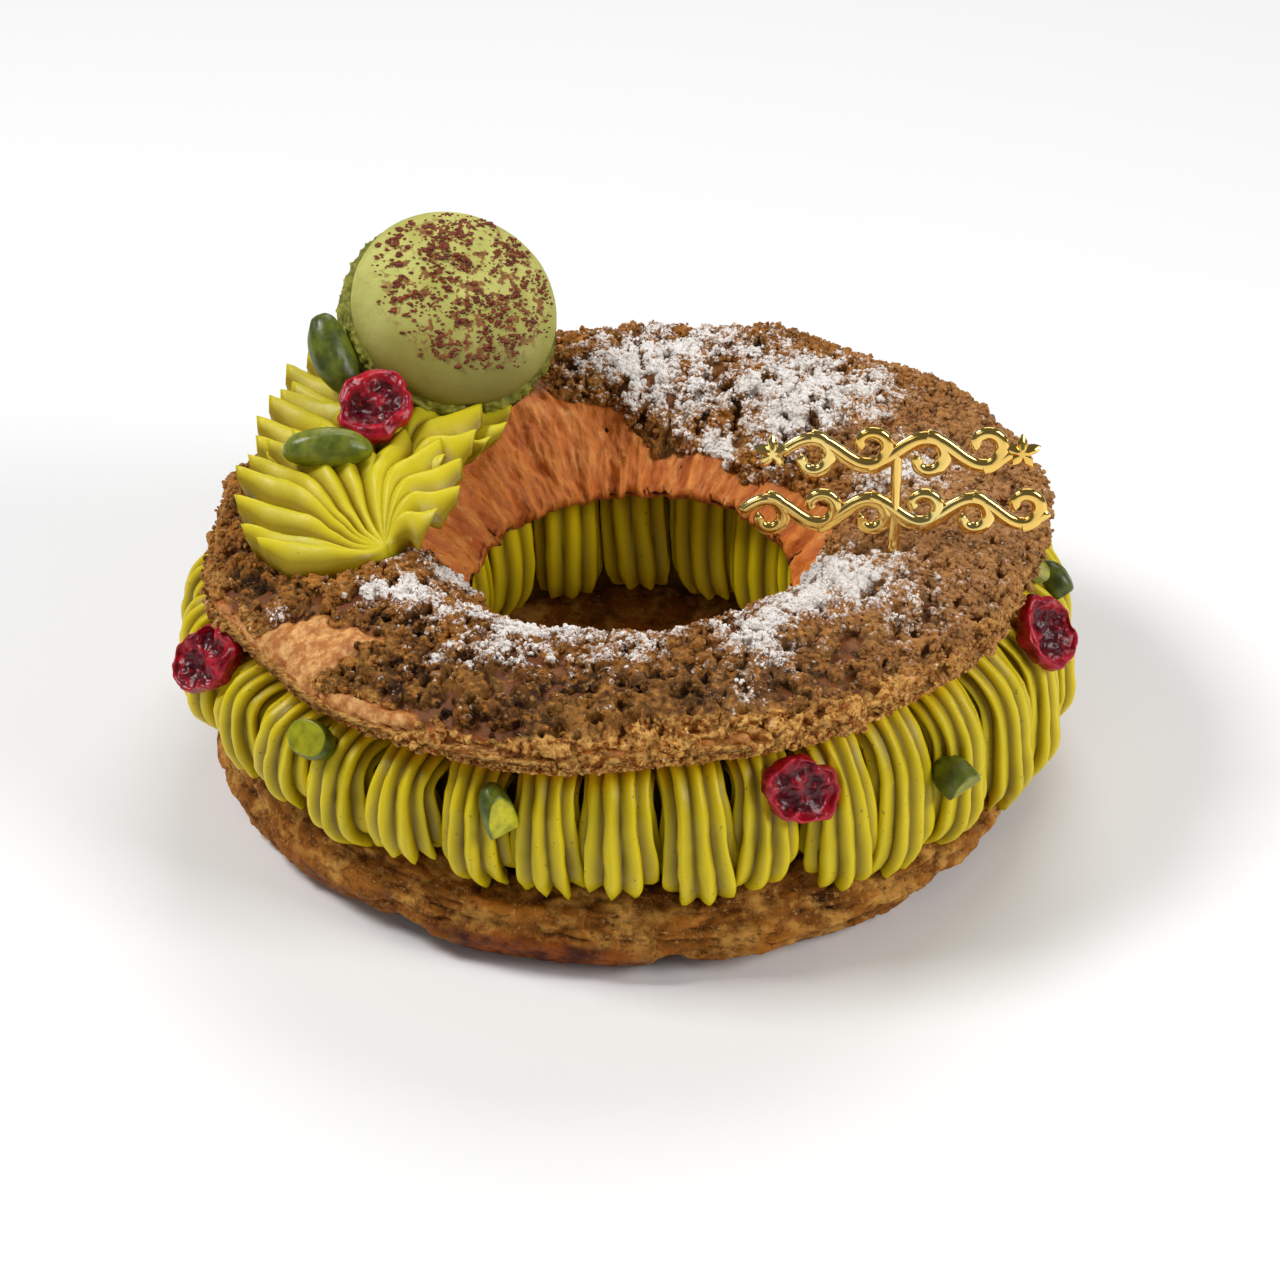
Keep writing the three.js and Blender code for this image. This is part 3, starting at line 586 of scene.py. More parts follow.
beds = {
    "cranberrySideLeft": (onRing(-159, 76.4, 34), (-0.5, -0.62, 0.6), 6.6, 1.4),
    "cranberrySideFront": (onRing(-66.4, 70.6, 34.6), (0.36, -0.9, 0.25), 6.6, 1.4),
    "cranberrySideRight": (onRing(-18.8, 75.8, 37.5), (0.6, -0.52, 0.6), 6.6, 1.4),
    "pistachioSideLeft": (onRing(-134.3, 73.6, 35.6), (-0.5, -0.7, 0.3), 4.2, 0.6),
    "pistachioSideFront": (onRing(-106.2, 71.6, 31.8), (-0.3, -0.9, 0.2), 3.6, 0.6),
    "pistachioSideRight": (onRing(-44.1, 76, 27.5), (0.6, -0.7, 0.2), 3.8, 0.8)}
# width of a bed's soft edge, how far it has risen there, and how far behind the place a bed reaches
bedEdge = {"soft": 4.0, "clear": 9.0, "reach": 8}


def pressed(points):
    # points nearer a bed's axis than its radius are pushed back behind its floor, with a soft edge round it
    for place, face, radius, depth in beds.values():
        spin = turnTo(face)
        local = (points - np.array(place)) @ spin
        aside = np.hypot(local[..., 0], local[..., 1])
        floor = mix(-depth, bedEdge["clear"], smooth((aside - radius) / bedEdge["soft"]))
        near = (aside < radius + bedEdge["soft"]) & (local[..., 2] > -bedEdge["reach"])
        local[..., 2] = np.where(near, np.minimum(local[..., 2], floor), local[..., 2])
        points = local @ spin.T + np.array(place)
    return points


# piped strokes of cream

stroke = {
    "count": 35, "firstEdge": -85.7, "belly": 76.3, "bellyOval": 3.9, "tip": 17, "sag": 5.6, "sagAngle": -20,
    "tuck": 3, "ridges": 10, "groove": 0.3, "rows": 44, "front": 56, "back": 8, "neck": 0.76, "taper": 0.1,
    # middle, spread and seed of what differs from stroke to stroke
    "vary": {"width": (1.06, 0.08, 20), "depth": (6.0, 0.4, 70), "slip": (0, 2.2, 5), "lean": (0, 3.0, 13),
             "teeth": (3.8, 1.4, 31), "twist": (0, 0.9, 44)},
    "drops": {32: -1.6, 33: -2.4, 34: 0.6, 0: -1.8, 1: 0.6, 2: 0.4},
    "wobble": ((0.34, 4.5, 31), (0.12, 1.8, 32))}
# squareness, power of the rounded ridges, first and last angle of the front, power of the depth
section = {"square": 2.3, "round": 0.8, "firstFront": -30, "lastFront": 210, "outPower": 1.3}


def strokeSection(ridges, front, back, slip):
    # turn angles, close together on the front, and a crest value, 0 in a groove and 1 on a ridge: half of it
    # a rounded wave, |sin| to a power, and half a pointed one, the angle whose sine that is
    first, last = section["firstFront"], section["lastFront"]
    turns = np.radians(np.concatenate([np.linspace(first, last, front, endpoint=False),
                                       np.linspace(last, first + 360, back, endpoint=False)]))
    wave = np.abs(np.sin(0.5 * ridges * turns + slip))
    crest = 0.5 * wave ** section["round"] + 0.5 * np.arcsin(wave) * 2 / math.pi
    return turns, crest


def controlPoints(count, pairs):
    # one row of control points, distance out and height, for each stroke
    return np.stack([np.stack([v + np.zeros(count) for v in pair], axis=-1) for pair in pairs], axis=1)


def sweepStrokes(settings, centre, outward, reach, controls):
    # carries a ridged squarish section along a curve in each stroke's own upright plane
    count = settings["count"]
    vary = {key: (middle + spread * chance(np.arange(count) + seed))[:, None, None]
            for key, (middle, spread, seed) in settings["vary"].items()}
    widths = (reach * np.sin(math.pi / count))[:, None, None] * vary["width"]
    t = np.linspace(0, 1, settings["rows"]) ** 0.9
    path = splinePath(controls, t)
    slope = np.gradient(path, axis=1)
    slope /= np.linalg.norm(slope, axis=-1, keepdims=True)
    slip = vary["slip"] + vary["twist"] * smooth((t - 0.25) / 0.5)[None, :, None]
    turns, crest = strokeSection(settings["ridges"], settings["front"], settings["back"], slip)
    c, s = np.cos(turns), np.sin(turns)
    power = section["square"]
    square = (np.abs(c) ** power + np.abs(s) ** power) ** (-1 / power)
    cut = settings["groove"] * (1 + 0.35 * smooth((t - 0.8) / 0.2))[None, :, None]
    swell = square * (1 - cut * (1 - crest))
    # narrow at the neck, full on the belly, drawn in again at the tip
    grow = mix(settings["neck"], 1.0, smooth((t - 0.3) / 0.45))
    close = 1 - settings["taper"] * smooth((t - 0.75) / 0.25) - 0.25 * smooth((t - 0.94) / 0.06) ** 2
    start = 1 - 0.6 * smooth((0.06 - t) / 0.06)
    size = (grow * close * start)[None, :, None]
    across = widths * size * c * swell
    out = vary["depth"] * (size ** section["outPower"]) * s * swell
    # the ridges run on past the tip as teeth
    along = vary["teeth"] * (crest ** 2.4 - 0.3) * smooth((t - 0.88) / 0.12)[None, :, None] * (s > -0.3)
    radius = path[..., 0:1] + out * -slope[..., 1:2] + along * slope[..., 0:1]
    height = path[..., 1:2] + out * slope[..., 0:1] + along * slope[..., 1:2]
    side = across + vary["lean"] * (t ** 2)[None, :, None]
    way, beside = outward[:, None, None], np.stack([-outward[:, 1], outward[:, 0]], axis=-1)[:, None, None]
    flat = centre + radius[..., None] * way + side[..., None] * beside
    # the groove mark, 1 - crest, paints shade into the grooves
    return np.concatenate([flat, height[..., None]], axis=-1), 1 - crest


def makeOuterStrokes():
    # each stroke leaves the lid's underside, bulges past the rim and ends in a toothed tip over the crust
    s = stroke
    k = np.arange(s["count"])
    angle = np.radians(s["firstEdge"]) + (k + 0.5) / s["count"] * turn
    rim = lidReach(angle) - s["tuck"]
    belly = s["belly"] + s["bellyOval"] * np.cos(2 * angle) + 0.6 * chance(k)
    drop = np.array([s["drops"].get(int(n), 0) for n in k])
    tip = s["tip"] - s["sag"] * smooth((np.cos(angle - np.radians(s["sagAngle"])) - 0.45) / 0.5)
    tip = tip + 1.1 * chance(k + 50) + drop + 0.8
    shoulder = undersideHeight(angle, rim) - 0.8
    d = s["vary"]["depth"][0]
    controls = controlPoints(s["count"], [
        (rim - 13, shoulder - 7.2), (rim - 4.6, shoulder - 5.3),
        (mix(rim, belly, 0.8) - d + 0.6, mix(tip, shoulder, 0.64)),
        (belly - d, tip + 8.2), (belly - d - 0.6, tip + 3.6),
        (belly - d - 2.6 - 1.2 * chance(k + 9), tip + 0.6)])
    outward = np.stack([np.cos(angle), np.sin(angle)], axis=-1)
    points, groove = sweepStrokes(s, np.zeros(2), outward, belly, controls)
    wobble = sum(amount * softNoise(points, size, seed) for amount, size, seed in s["wobble"])
    points = points + gridNormals(points, False) * wobble[..., None]
    # ridges of the strokes stay above the bed
    reach, way = np.hypot(points[..., 0], points[..., 1]), np.arctan2(points[..., 1], points[..., 0])
    bed = bedHeight(way, reach) + 0.6
    overBed = reach < crustReach(way) - 6
    points[..., 2] = np.where(overBed, np.maximum(points[..., 2], bed), points[..., 2])
    gridPiece("outerStrokes", pressed(points), creamMaterial, ["cream_filling"],
              {"groove": groove}, False)


innerStroke = {
    "count": 18, "ridges": 9, "groove": 0.22, "rows": 36, "front": 44, "back": 8, "neck": 1.0, "taper": 0.12,
    "vary": {"width": (1.1, 0.07, 2), "depth": (4.6, 0.3, 8), "slip": (0, 2, 5), "lean": (0, 3.0, 6),
             "teeth": (1.4, 1, 7), "twist": (0, 0.7, 9)},
    "top": 34.5, "belly": 23, "foot": (9.4, 1.6), "wobble": (0.2, 4, 33)}


def makeInnerStrokes():
    # the same round the hole, facing its middle
    s = innerStroke
    k = np.arange(s["count"])
    angle = (k + 0.5) / s["count"] * turn
    wall, d = hole["cream"], s["vary"]["depth"][0]
    foot = s["foot"][0] + s["foot"][1] * chance(k + 3)
    controls = controlPoints(s["count"], [
        (-(wall + 11), s["top"]), (-(wall + d + 1.8 + 0.8 * chance(k)), s["top"] - 3.5),
        (-(wall + d + 0.2 + 0.5 * chance(k + 4)), s["belly"]),
        (-(wall + d + 0.6), mix(foot, s["belly"], 0.4)), (-(wall + d + 2.2), foot)])
    outward = -np.stack([np.cos(angle), np.sin(angle)], axis=-1)
    centre = np.array([hole["x"], hole["y"]])
    points, groove = sweepStrokes(s, centre, outward, wall + 1.5 + 0 * angle, controls)
    amount, size, seed = s["wobble"]
    points = points + gridNormals(points, False) * (amount * softNoise(points, size, seed))[..., None]
    gridPiece("innerStrokes", points, creamMaterial, ["cream_filling"],
              {"groove": groove}, False)


def makeCore():
    # a plain ring behind the strokes, so that the gaps between them have cream at their ends, all of it
    # painted in the grooves' shade colour as painted shade
    angle = ringAngles(240)
    inner, rim = holeReach(angle, hole["cream"] + 6), lidReach(angle) - 11
    belly = stroke["belly"] + stroke["bellyOval"] * np.cos(2 * angle) - 10
    bedIn, bedOut = inner + 1.5, crustReach(angle) - crust["roll"] - 1
    tip = stroke["tip"]
    corners = [(belly, tip + 2), (belly - 2, tip + 12), (rim, undersideHeight(angle, rim) - 2),
               (inner + 2, undersideHeight(angle, inner + 2) - 2), (inner, 30), (inner, 14),
               (bedIn, bedHeight(angle, bedIn) + 0.8), (bedOut, 2 * crust["roll"] + 0.8)]
    radius = np.concatenate([r for r, z in corners], axis=1)
    height = np.concatenate([z + 0 * angle for r, z in corners], axis=1)
    points = polar(angle, radius, height)[None]
    # painted shade: the whole core takes the full groove mark, so the gaps between the strokes look shaded
    marks = {"groove": np.ones(points.shape[:-1])}
    gridPiece("creamCore", points, creamMaterial, ["cream_filling"], marks)


# lid

lidLook = {
    "around": 840, "edge": 24, "slope": 28, "wall": 48, "under": 12, "inset": 1.1,
    # where the crackled crust begins, seen from the axis: degrees and radius
    "inner": ((-180, 39.5), (-172, 37.5), (-166, 32), (-160, 29), (-60, 30.5), (-52, 35.5), (-42, 38.5),
              (-30, 37), (-22, 37.8), (-10, 37.5), (0, 36), (20, 31), (33, 28.4), (45, 27), (60, 28),
              (71, 28.2), (81, 28.4), (87, 30.6), (90, 34.7), (97, 37), (108, 38.5), (115, 40.6),
              (123, 41.1), (147, 40.2), (158, 37.7), (180, 39.5)),
    "ragged": (2.4, 6, 41), "worn": (2.4, -128, 22), "bareAt": (-53, -40.5), "bareSize": (9, 8)}
# each spot of powdered sugar: its place, radius and strength
sugarSpots = (
    (2, 47.6, 12, 0.5), (14, 51.5, 11, 0.55), (36, 31, 11, 0.55), (26, 38.5, 9, 0.4), (11.6, 35.9, 6, 0.5),
    (16.5, 24, 2.8, 1.6), (29, 21, 6, 0.35), (47.7, 2.5, 9, 0.35), (27, -17, 4.5, 0.8), (33, -25, 5, 0.65),
    (38.5, -31, 7, 0.5), (29, -37, 6, 0.55), (20, -45, 4.5, 0.85), (24, -52, 6, 0.4), (18.7, -61, 6, 0.3),
    (-31, -14, 5, 0.7), (-24, -35, 7, 0.42), (-33.6, -31, 6, 0.62), (-30.8, -51, 7, 0.4), (-17, -48, 7, 0.4),
    (-12, -40, 7, 0.5), (-41, -29, 6, 0.35), (-58.6, -32.5, 3, 0.6), (0, -44, 9, 0.28), (45, -40, 9, 0.22),
    (-4, -56, 15, 0.16))
sugarLook = {"least": 0.02, "strength": 0.85, "broken": (0.75, 5, 55)}


def coverOf(angle, radius, points):
    # 1 on the crackled crust and 0 on bare choux, with a ragged border between them
    degrees = np.degrees(np.arctan2(np.sin(angle), np.cos(angle)))
    table = np.array(lidLook["inner"])
    inner = radius - np.interp(degrees, table[:, 0], table[:, 1])
    worn = bells(angle, [lidLook["worn"]]) * smooth(0.6 + 1.4 * layered(points, 9, 47, 2))
    outer = lidReach(angle) - radius - 0.1 - worn
    amount, size, seed = lidLook["ragged"]
    ragged = amount * layered(points, size, seed, 3)
    # a bare oval patch at the front left
    (x, y), (wide, deep) = lidLook["bareAt"], lidLook["bareSize"]
    bare = np.hypot((points[..., 0] - x) / wide, (points[..., 1] - y) / deep) - 1
    within = smooth((np.minimum(inner + ragged, 4 * bare + ragged) + 0.7) / 1.4)
    return within * smooth((outer + 0.35 * ragged + 0.9) / 1.0)


def sugarOf(points):
    # a sum of round spots, exp(-(distance / radius)^2), each broken up by noise
    total = sugarLook["least"]
    for x, y, size, amount in sugarSpots:
        far = (points[..., 0] - x) ** 2 + (points[..., 1] - y) ** 2
        total = total + sugarLook["strength"] * amount * np.exp(-far / size ** 2)
    amount, size, seed = sugarLook["broken"]
    return total * (1 + amount * layered(points, size, seed, 3))


def makeLidShell():
    # one closed section: up round the rim, over the crest, down the torn wall to the lip and back underneath
    look = lidLook
    angle = ringAngles(look["around"])
    crestRadius = lid["crestRadius"]
    rim, lip = lidReach(angle), holeReach(angle, hole["lip"])
    lip = lip + 0.9 * layered(polar(angle, 27 + 0 * angle, 0 * angle), 3.2, 61, 3)
    topR = crestRadius + (rim - crestRadius) * np.cos(steps(look["edge"] + look["slope"]) * math.pi / 2)
    wallR = mix(crestRadius, lip, steps(look["wall"]) ** 0.8)
    underR = mix(lip + 0.8, rim - 0.8, np.linspace(0, 1, look["under"])[None])
    radius = np.concatenate([topR, wallR, underR], axis=1)
    upper = np.arange(radius.shape[1])[None] < radius.shape[1] - look["under"]
    height = np.where(upper, lidTop(angle, radius), undersideHeight(angle, radius))
    points = polar(angle, radius, height)[None]
    onTop = upper * 1.0
    cover = coverOf(angle, radius, points[0])
    # streaks follow the way from crest to lip: the noise is read by angle, with a little of the radius
    streakPlace = np.stack([34 * np.cos(angle) + 0 * radius, 34 * np.sin(angle) + 0 * radius, 0.42 * radius],
                           axis=-1)
    streakPlace = streakPlace + (0.6 * layered(points[0], 5, 75, 2))[..., None]
    streak = layered(streakPlace, 2.0, 71, 4)
    onWall = smooth((crestRadius - 2 - radius) / 3) * onTop
    rough = layered(points[0], 1.6, 73, 3)
    lumps = layered(points[0], 7, 79, 2)
    flaps = layered(polar(angle, 34, 0.3 * radius), 5, 77, 2)
    depth = onWall * (0.7 * streak + 0.4 * rough + 0.7 * flaps)
    depth = depth + (1 - onWall) * onTop * (0.25 * rough + 0.3 * lumps)
    depth = depth - look["inset"] * onTop * mix(0.35, 1.0, cover) + (1 - onTop) * 0.3 * rough
    edge = smooth((radius - rim + 1.6) / 1.6)
    depth = depth + edge * 0.7 * layered(points[0], 1.9, 83, 3)
    points = points + gridNormals(points) * depth[None, ..., None]
    # the brown mark paints shade on the choux under the crackled crust, where the crust's pits show it
    marks = {"streak": (0.5 + 0.45 * streak)[None], "brown": (0.75 * cover * onTop * (1 - edge))[None],
             "pale": (0.8 * (1 - cover) * onTop * (1 - onWall))[None]}
    marks.update({"fibre" + axis: streakPlace[None, ..., k] * mm for k, axis in enumerate("XYZ")})
    gridPiece("lidChoux", points, chouxMaterial, ["crust_top"], marks)


crackle = {
    "around": 900, "outside": 64, "inside": 40, "floor": 5, "thick": 1.7, "sunk": 2.2, "deepest": 1.6,
    "crumbSize": 1.3, "clodSize": 3.4, "lumpSize": 9.0, "pitSize": 2.6, "creviceSize": 9, "burstSize": 4.4,
    # how far each stands out, and what it adds to the crest mark
    "relief": {"crumb": 0.36, "clod": 1.2, "lump": 1.0, "pit": 1.7, "crevice": 1.1, "burst": 1.7,
               "grain": 0.2},
    "crest": {"crumb": 0.3, "clod": 0.55, "pit": 0.7, "crevice": 0.35, "burst": 0.9},
    # painted shade makes the front darker and painted light makes the right lighter, where a second painted
    # light mark lies
    "baked": ((0.5, -98, 50), (0.45, -8, 42)), "tan": (1, -8, 44), "fringe": (0.7, -95, 65)}


def makeCrackle():
    # a thin crust over the choux: pebbled crumbs on clods, sunk out of sight where bare choux shows
    look, weight, tone = crackle, crackle["relief"], crackle["crest"]
    angle = ringAngles(look["around"])
    crestRadius = lid["crestRadius"]
    rim, lip = lidReach(angle), holeReach(angle, hole["lip"])
    q = np.linspace(-0.06, 1, look["outside"], endpoint=False)[None] * math.pi / 2
    outR = crestRadius + (rim - crestRadius) * np.cos(np.maximum(q, 0))
    outZ = lidTop(angle, outR) + np.minimum(q, 0) * 12
    inR = mix(crestRadius, lip + 0.5, np.linspace(0, 1, look["inside"])[None])
    backR = mix(lip + 0.8, rim - 0.6, np.linspace(0, 1, look["floor"])[None])
    radius = np.concatenate([outR, inR, backR], axis=1)
    top = (np.arange(radius.shape[1])[None] < look["outside"] + look["inside"]) * 1.0
    height = np.concatenate([outZ, lidTop(angle, inR), lidTop(angle, backR) - look["thick"]], axis=1)
    points = polar(angle, radius, height)[None]
    normal = gridNormals(points)
    # crumbs are a little lower than they are wide; pits, crevices and burst bubbles break them up
    flat = points[0] * np.array([1, 1, 1.25])
    crumb = 1 - 1.25 * pebbles(flat, look["crumbSize"], 91)
    clod = 1 - 1.3 * pebbles(flat + 0.8 * layered(flat, 3, 97, 2)[..., None], look["clodSize"], 95)
    lump = layered(flat, look["lumpSize"], 99, 2)
    pit = smooth((layered(flat, look["pitSize"], 101, 2) - 0.3) / 0.22)
    crevice = smooth((0.13 - np.abs(layered(flat, look["creviceSize"], 109, 3))) / 0.12)
    burst = smooth((0.32 + 0.1 * layered(flat, 3, 117, 2) - pebbles(flat, look["burstSize"], 113)) / 0.1)
    relief = weight["crumb"] * crumb + weight["clod"] * clod + weight["lump"] * lump - weight["pit"] * pit
    relief = relief - weight["crevice"] * crevice - weight["burst"] * burst
    relief = np.maximum(relief + weight["grain"] * layered(flat, 0.9, 103, 2), -look["deepest"])
    cover = coverOf(angle, radius, points[0])
    depth = np.where(top > 0.5, cover * (relief + 0.15) - look["sunk"] * (1 - cover), 0)
    points = points + normal * depth[None, ..., None]
    # painted shade at the front rim and painted light at the right, both carried into the crest mark
    (dark, darkAt, darkWidth), (light, lightAt, lightWidth) = look["baked"]
    baked = dark * smooth((radius - 52) / 8) * bell(angle, darkAt, darkWidth)
    baked = baked - light * bell(angle, lightAt, lightWidth)
    # the crest mark: lighter on crumbs and clods, darker in pits, crevices and bursts, painted shade in the
    # hollows
    crest = 0.45 + tone["crumb"] * crumb + tone["clod"] * clod - tone["pit"] * pit
    crest = np.clip(crest - tone["crevice"] * crevice - tone["burst"] * burst - baked, 0, 1)
    facing = np.clip(normal[0, ..., 2], 0, 1)
    sugar = sugarOf(points[0]) * mix(0.35, 1.1, smooth(facing * 1.3))
    sugar = sugar + 0.5 * (crest - 0.5) * smooth(sugar * 4)
    edge = lidReach(angle) - radius + 1.2 * layered(flat, 5, 107, 3)
    fringe = smooth((3.6 - edge) / 2.6) * (0.3 + bells(angle, [look["fringe"]]))
    # painted light on the right side, kept off the fringe
    tan = bells(angle, [look["tan"]]) * smooth((radius - 34) / 10) * (1 - fringe)
    marks = {"crest": crest, "sugar": sugar * top * (1 - 0.8 * fringe), "fringe": fringe, "tan": tan}
    marks = {mark: numbers[None] for mark, numbers in marks.items()}
    gridPiece("lidCrackle", points, crackleMaterial, ["crust_top"], marks)
    # for the grains: each point, its normal, how much crust lies round it, and its marks
    along, around = np.gradient(points[0], axis=1), np.gradient(points[0], axis=0)
    area = np.linalg.norm(np.cross(along, around), axis=-1)
    return points[0], normal[0], cover * top * area, sugar, crest, fringe, tan


# piped shells: every flute is a ridge of its own, from one tail out to a cut end that stands up

shells = {"rows": 34, "top": 19, "dip": 2.5, "power": 1.5, "hump": 1.1, "lift": 1.2, "flare": 1.6,
          "undercut": 1.6, "overlap": 1.28, "uneven": (0.25, 4, 121)}
# each fan: tail, centre and radius of the circle on which its flutes end, first and last angle, number of
# flutes, middle and spread of the headings at the tail and at the ends, height of the ends, drop of the
# last, skirt
shellFans = (
    ((-40.4, -18.6, 51.6), (-50, -8), 15.6, (98, 226), 8, (172, 64), (166, 14), 57.6, 5.6, 6.5),
    ((-40.4, -18.6, 51.6), (-40.6, -5.2), 11.4, (84, -52), 5, (92, -14), (28, -34), 57.6, 3.2, 4.6),
    ((-38, -1, 53.4), (-49, 10.6), 14.8, (86, 216), 7, (160, 62), (152, 16), 58.4, 2.4, 9.5),
    ((-38, -1, 53.4), (-38.6, 11.6), 12.0, (88, -62), 5, (90, -14), (26, -30), 58.6, 2.0, 4.6),
    ((-34, 14, 54), (-47.2, 21.5), 13.0, (76, 190), 5, (150, 50), (146, 14), 60.2, 1.6, 10.0),
    ((-34, 14, 54), (-32.6, 17), 10.8, (58, -48), 5, (70, -14), (20, -24), 56.2, 1.4, 4.0))


def makeShells():
    # each flute's plan is a cubic curve with a handle at each end; its section falls off as |x| to a power
    flutes = []
    for tail, centre, radius, (first, last), count, leaving, arriving, top, drop, skirt in shellFans:
        tail = np.array(tail, float)
        spacing = radius * math.radians(abs(last - first)) / (count - 1)
        for i in range(count):
            w = 2 * i / (count - 1) - 1
            end = np.array([*centre, 0]) + radius * heading(mix(first, last, (w + 1) / 2))
            end[2] = top - drop * float(smooth((w + 0.1) / 1.1)) + 0.5 * float(chance(7 * i + count))
            reach = np.hypot(*(end - tail)[:2])
            near = tail + 0.46 * reach * heading(leaving[0] + w * leaving[1])
            far = end - 0.4 * reach * heading(arriving[0] + w * arriving[1])
            flutes.append((tail, end, near, far, spacing / 2, skirt))
    tails, ends, near, far, wide, skirts = (np.array(v, float) for v in zip(*flutes))
    t = np.linspace(0, 1, shells["rows"])[None, :, None]
    plan = (1 - t) ** 3 * tails[:, None] + 3 * t * (1 - t) ** 2 * near[:, None]
    plan = (plan + 3 * t * t * (1 - t) * far[:, None] + t ** 3 * ends[:, None])[..., :2]
    slope = np.gradient(plan, axis=1)
    slope /= np.linalg.norm(slope, axis=-1, keepdims=True)
    side = np.stack([-slope[..., 1], slope[..., 0]], axis=-1)
    # the crest rises from the tail with 3t^2 - 2t^3, humps in the middle and lifts at the end
    t = t[..., 0]
    crest = mix(tails[:, 2:], ends[:, 2:], smooth(t / 0.6)) + shells["hump"] * np.sin(math.pi * t) ** 2
    crest = crest + shells["lift"] * smooth((t - 0.72) / 0.28) ** 2
    crest = crest + 0.3 * chance(np.arange(len(wide)) + 11)[:, None] * t
    half = mix(0.3, wide[:, None], smooth(t / 0.8) ** 0.9) * (1 - 0.42 * smooth((t - 0.8) / 0.2))
    # the section: a rounded ridge over the top, steep sides and a floor
    x = np.concatenate([np.linspace(-1, 1, shells["top"]), [1, 0.4, -0.4, -1]]) * shells["overlap"]
    onTop = np.arange(len(x)) < shells["top"]
    dip = shells["dip"] * (half[..., None] / 2.7) * np.abs(x) ** shells["power"]
    place = plan[:, :, None] + side[:, :, None] * (half[..., None] * x)[..., None]
    radius, angle = np.hypot(place[..., 0], place[..., 1]), np.arctan2(place[..., 1], place[..., 0])
    floor = np.maximum(lidTop(angle, radius) - 0.8, crest[..., None] - skirts[:, None, None])
    floor = np.minimum(floor, crest[..., None] - dip.max(axis=-1, keepdims=True) - 0.4)
    height = np.where(onTop, crest[..., None] - dip, floor)
    # cut ends: the ridge stands out a little further than its floor
    overhang = np.where(onTop, shells["flare"] * (1 - 0.6 * np.abs(x)), -shells["undercut"])
    overhang = smooth((t - 0.8) / 0.2)[..., None] * overhang
    place = place + overhang[..., None] * slope[:, :, None]
    points = np.concatenate([place, height[..., None]], axis=-1)
    amount, size, seed = shells["uneven"]
    points = points + (amount * layered(points, size, seed, 2))[..., None] * np.array([0.5, 0.5, 1])
    # the groove mark paints shade down the flutes' sides and on their floors, less near the tail
    marks = {"groove": np.where(onTop, np.minimum(np.abs(x), 1) ** 2, 1.0) * smooth(t / 0.25)[..., None]}
    gridPiece("pipedShells", points, pipedMaterial, ["piped_shells"], marks, False)


# macaron: two caps with ruffled feet, the paste between them, and flakes on the front

macaron = {
    "apex": (-29, 26.2, 75.4), "facing": (0.26, -0.559, 0.788), "around": 230,
    "radius": 19.4, "inset": 1.2, "foot": 3, "domeRadius": 18.7, "dome": 7, "step": 0.6, "power": 0.9,
    "back": 8, "footRows": 22, "domeRows": 60, "frill": 26, "ruffle": (1.2, 0.95), "buckle": (0.45, 1.8),
    "fill": 2, "pasteRadius": 17.6, "pasteHalf": 0.95}
flakes = {"tries": 9000, "keep": 0.35, "within": 17.4, "size": (0.28, 0.72), "clump": 2.6,
          "middle": (1.6, 3.2), "reach": 18.6, "fade": 5.5}


def flaked(across):
    # 1 in the middle of the dusted part, a little above and to the right of the dome's own, and 0 beyond it
    x, y = flakes["middle"]
    away = np.hypot(across[..., 0] - x, across[..., 1] - y)
    return smooth((flakes["reach"] - away) / flakes["fade"])


def domeHeight(sine):
    # how high the dome stands over the cap's back
    return macaron["foot"] + macaron["step"] + (macaron["dome"] - macaron["step"]) * sine


def capPoints(seed):
    # a lathe: flat back, a foot of crumbly ruffles, then a dome whose radius is a cosine to a power
    m = macaron
    angle = ringAngles(m["around"])
    base = m["radius"] - m["inset"]
    t = np.linspace(0, 1, m["footRows"])
    up = np.radians(np.linspace(-14, 90, m["domeRows"]))
    radius = np.concatenate([np.linspace(0.02, 1, m["back"]) * base, base + 1.5 * np.sin(math.pi * t) ** 0.6,
                             m["domeRadius"] * np.cos(np.abs(up)) ** m["power"]])[None] + 0 * angle
    height = np.concatenate([np.zeros(m["back"]), m["foot"] * t, domeHeight(np.sin(up))])[None] + 0 * angle
    # columns go round, so the grid is turned: rows run from the back's middle to the top of the dome
    points = polar(angle, radius, height).transpose(1, 0, 2)[None]
    onFoot = np.zeros(radius.shape[1])
    onFoot[m["back"]:m["back"] + m["frill"]] = np.sin(np.linspace(0.15, math.pi - 0.1, m["frill"])) ** 0.5
    onFoot = onFoot[None, :, None]
    shaped = points + np.array([seed, 0, 0])
    (ruffle, size), (buckle, broad) = m["ruffle"], m["buckle"]
    ruffle = ruffle * (0.55 - pebbles(shaped, size, 131)) + buckle * layered(shaped, broad, 135, 2)
    # the ruffles towards the upper right are smoother and lie deeper
    hidden = smooth((points[..., 1] + 0.4 * points[..., 0] - 1) / 8)
    ruffle = ruffle * (1 - 0.75 * hidden) - 0.6 * hidden
    dome = 0.12 * layered(shaped, 7, 137, 2) + 0.025 * layered(shaped, 0.9, 139, 2)
    points = points + gridNormals(points, False) * (onFoot * ruffle + (1 - onFoot) * dome)[..., None]
    # painted shade on the dome's lower side, which faces away from the lamps
    low = smooth((1 - points[..., 1]) / 18) * (1 - onFoot)
    blotted = flaked(points[..., :2]) * smooth((17.5 - np.hypot(points[..., 0], points[..., 1])) / 3)
    # the crest mark paints shade in the feet's hollows, and more on the ruffles that lie deeper at the upper
    # right
    marks = {"foot": np.broadcast_to(onFoot, points.shape[:-1]), "crest": np.clip(0.5 + 0.5 * ruffle, 0, 1),
             "low": low, "blotted": blotted * (points[..., 2] > m["foot"])}
    return points, marks


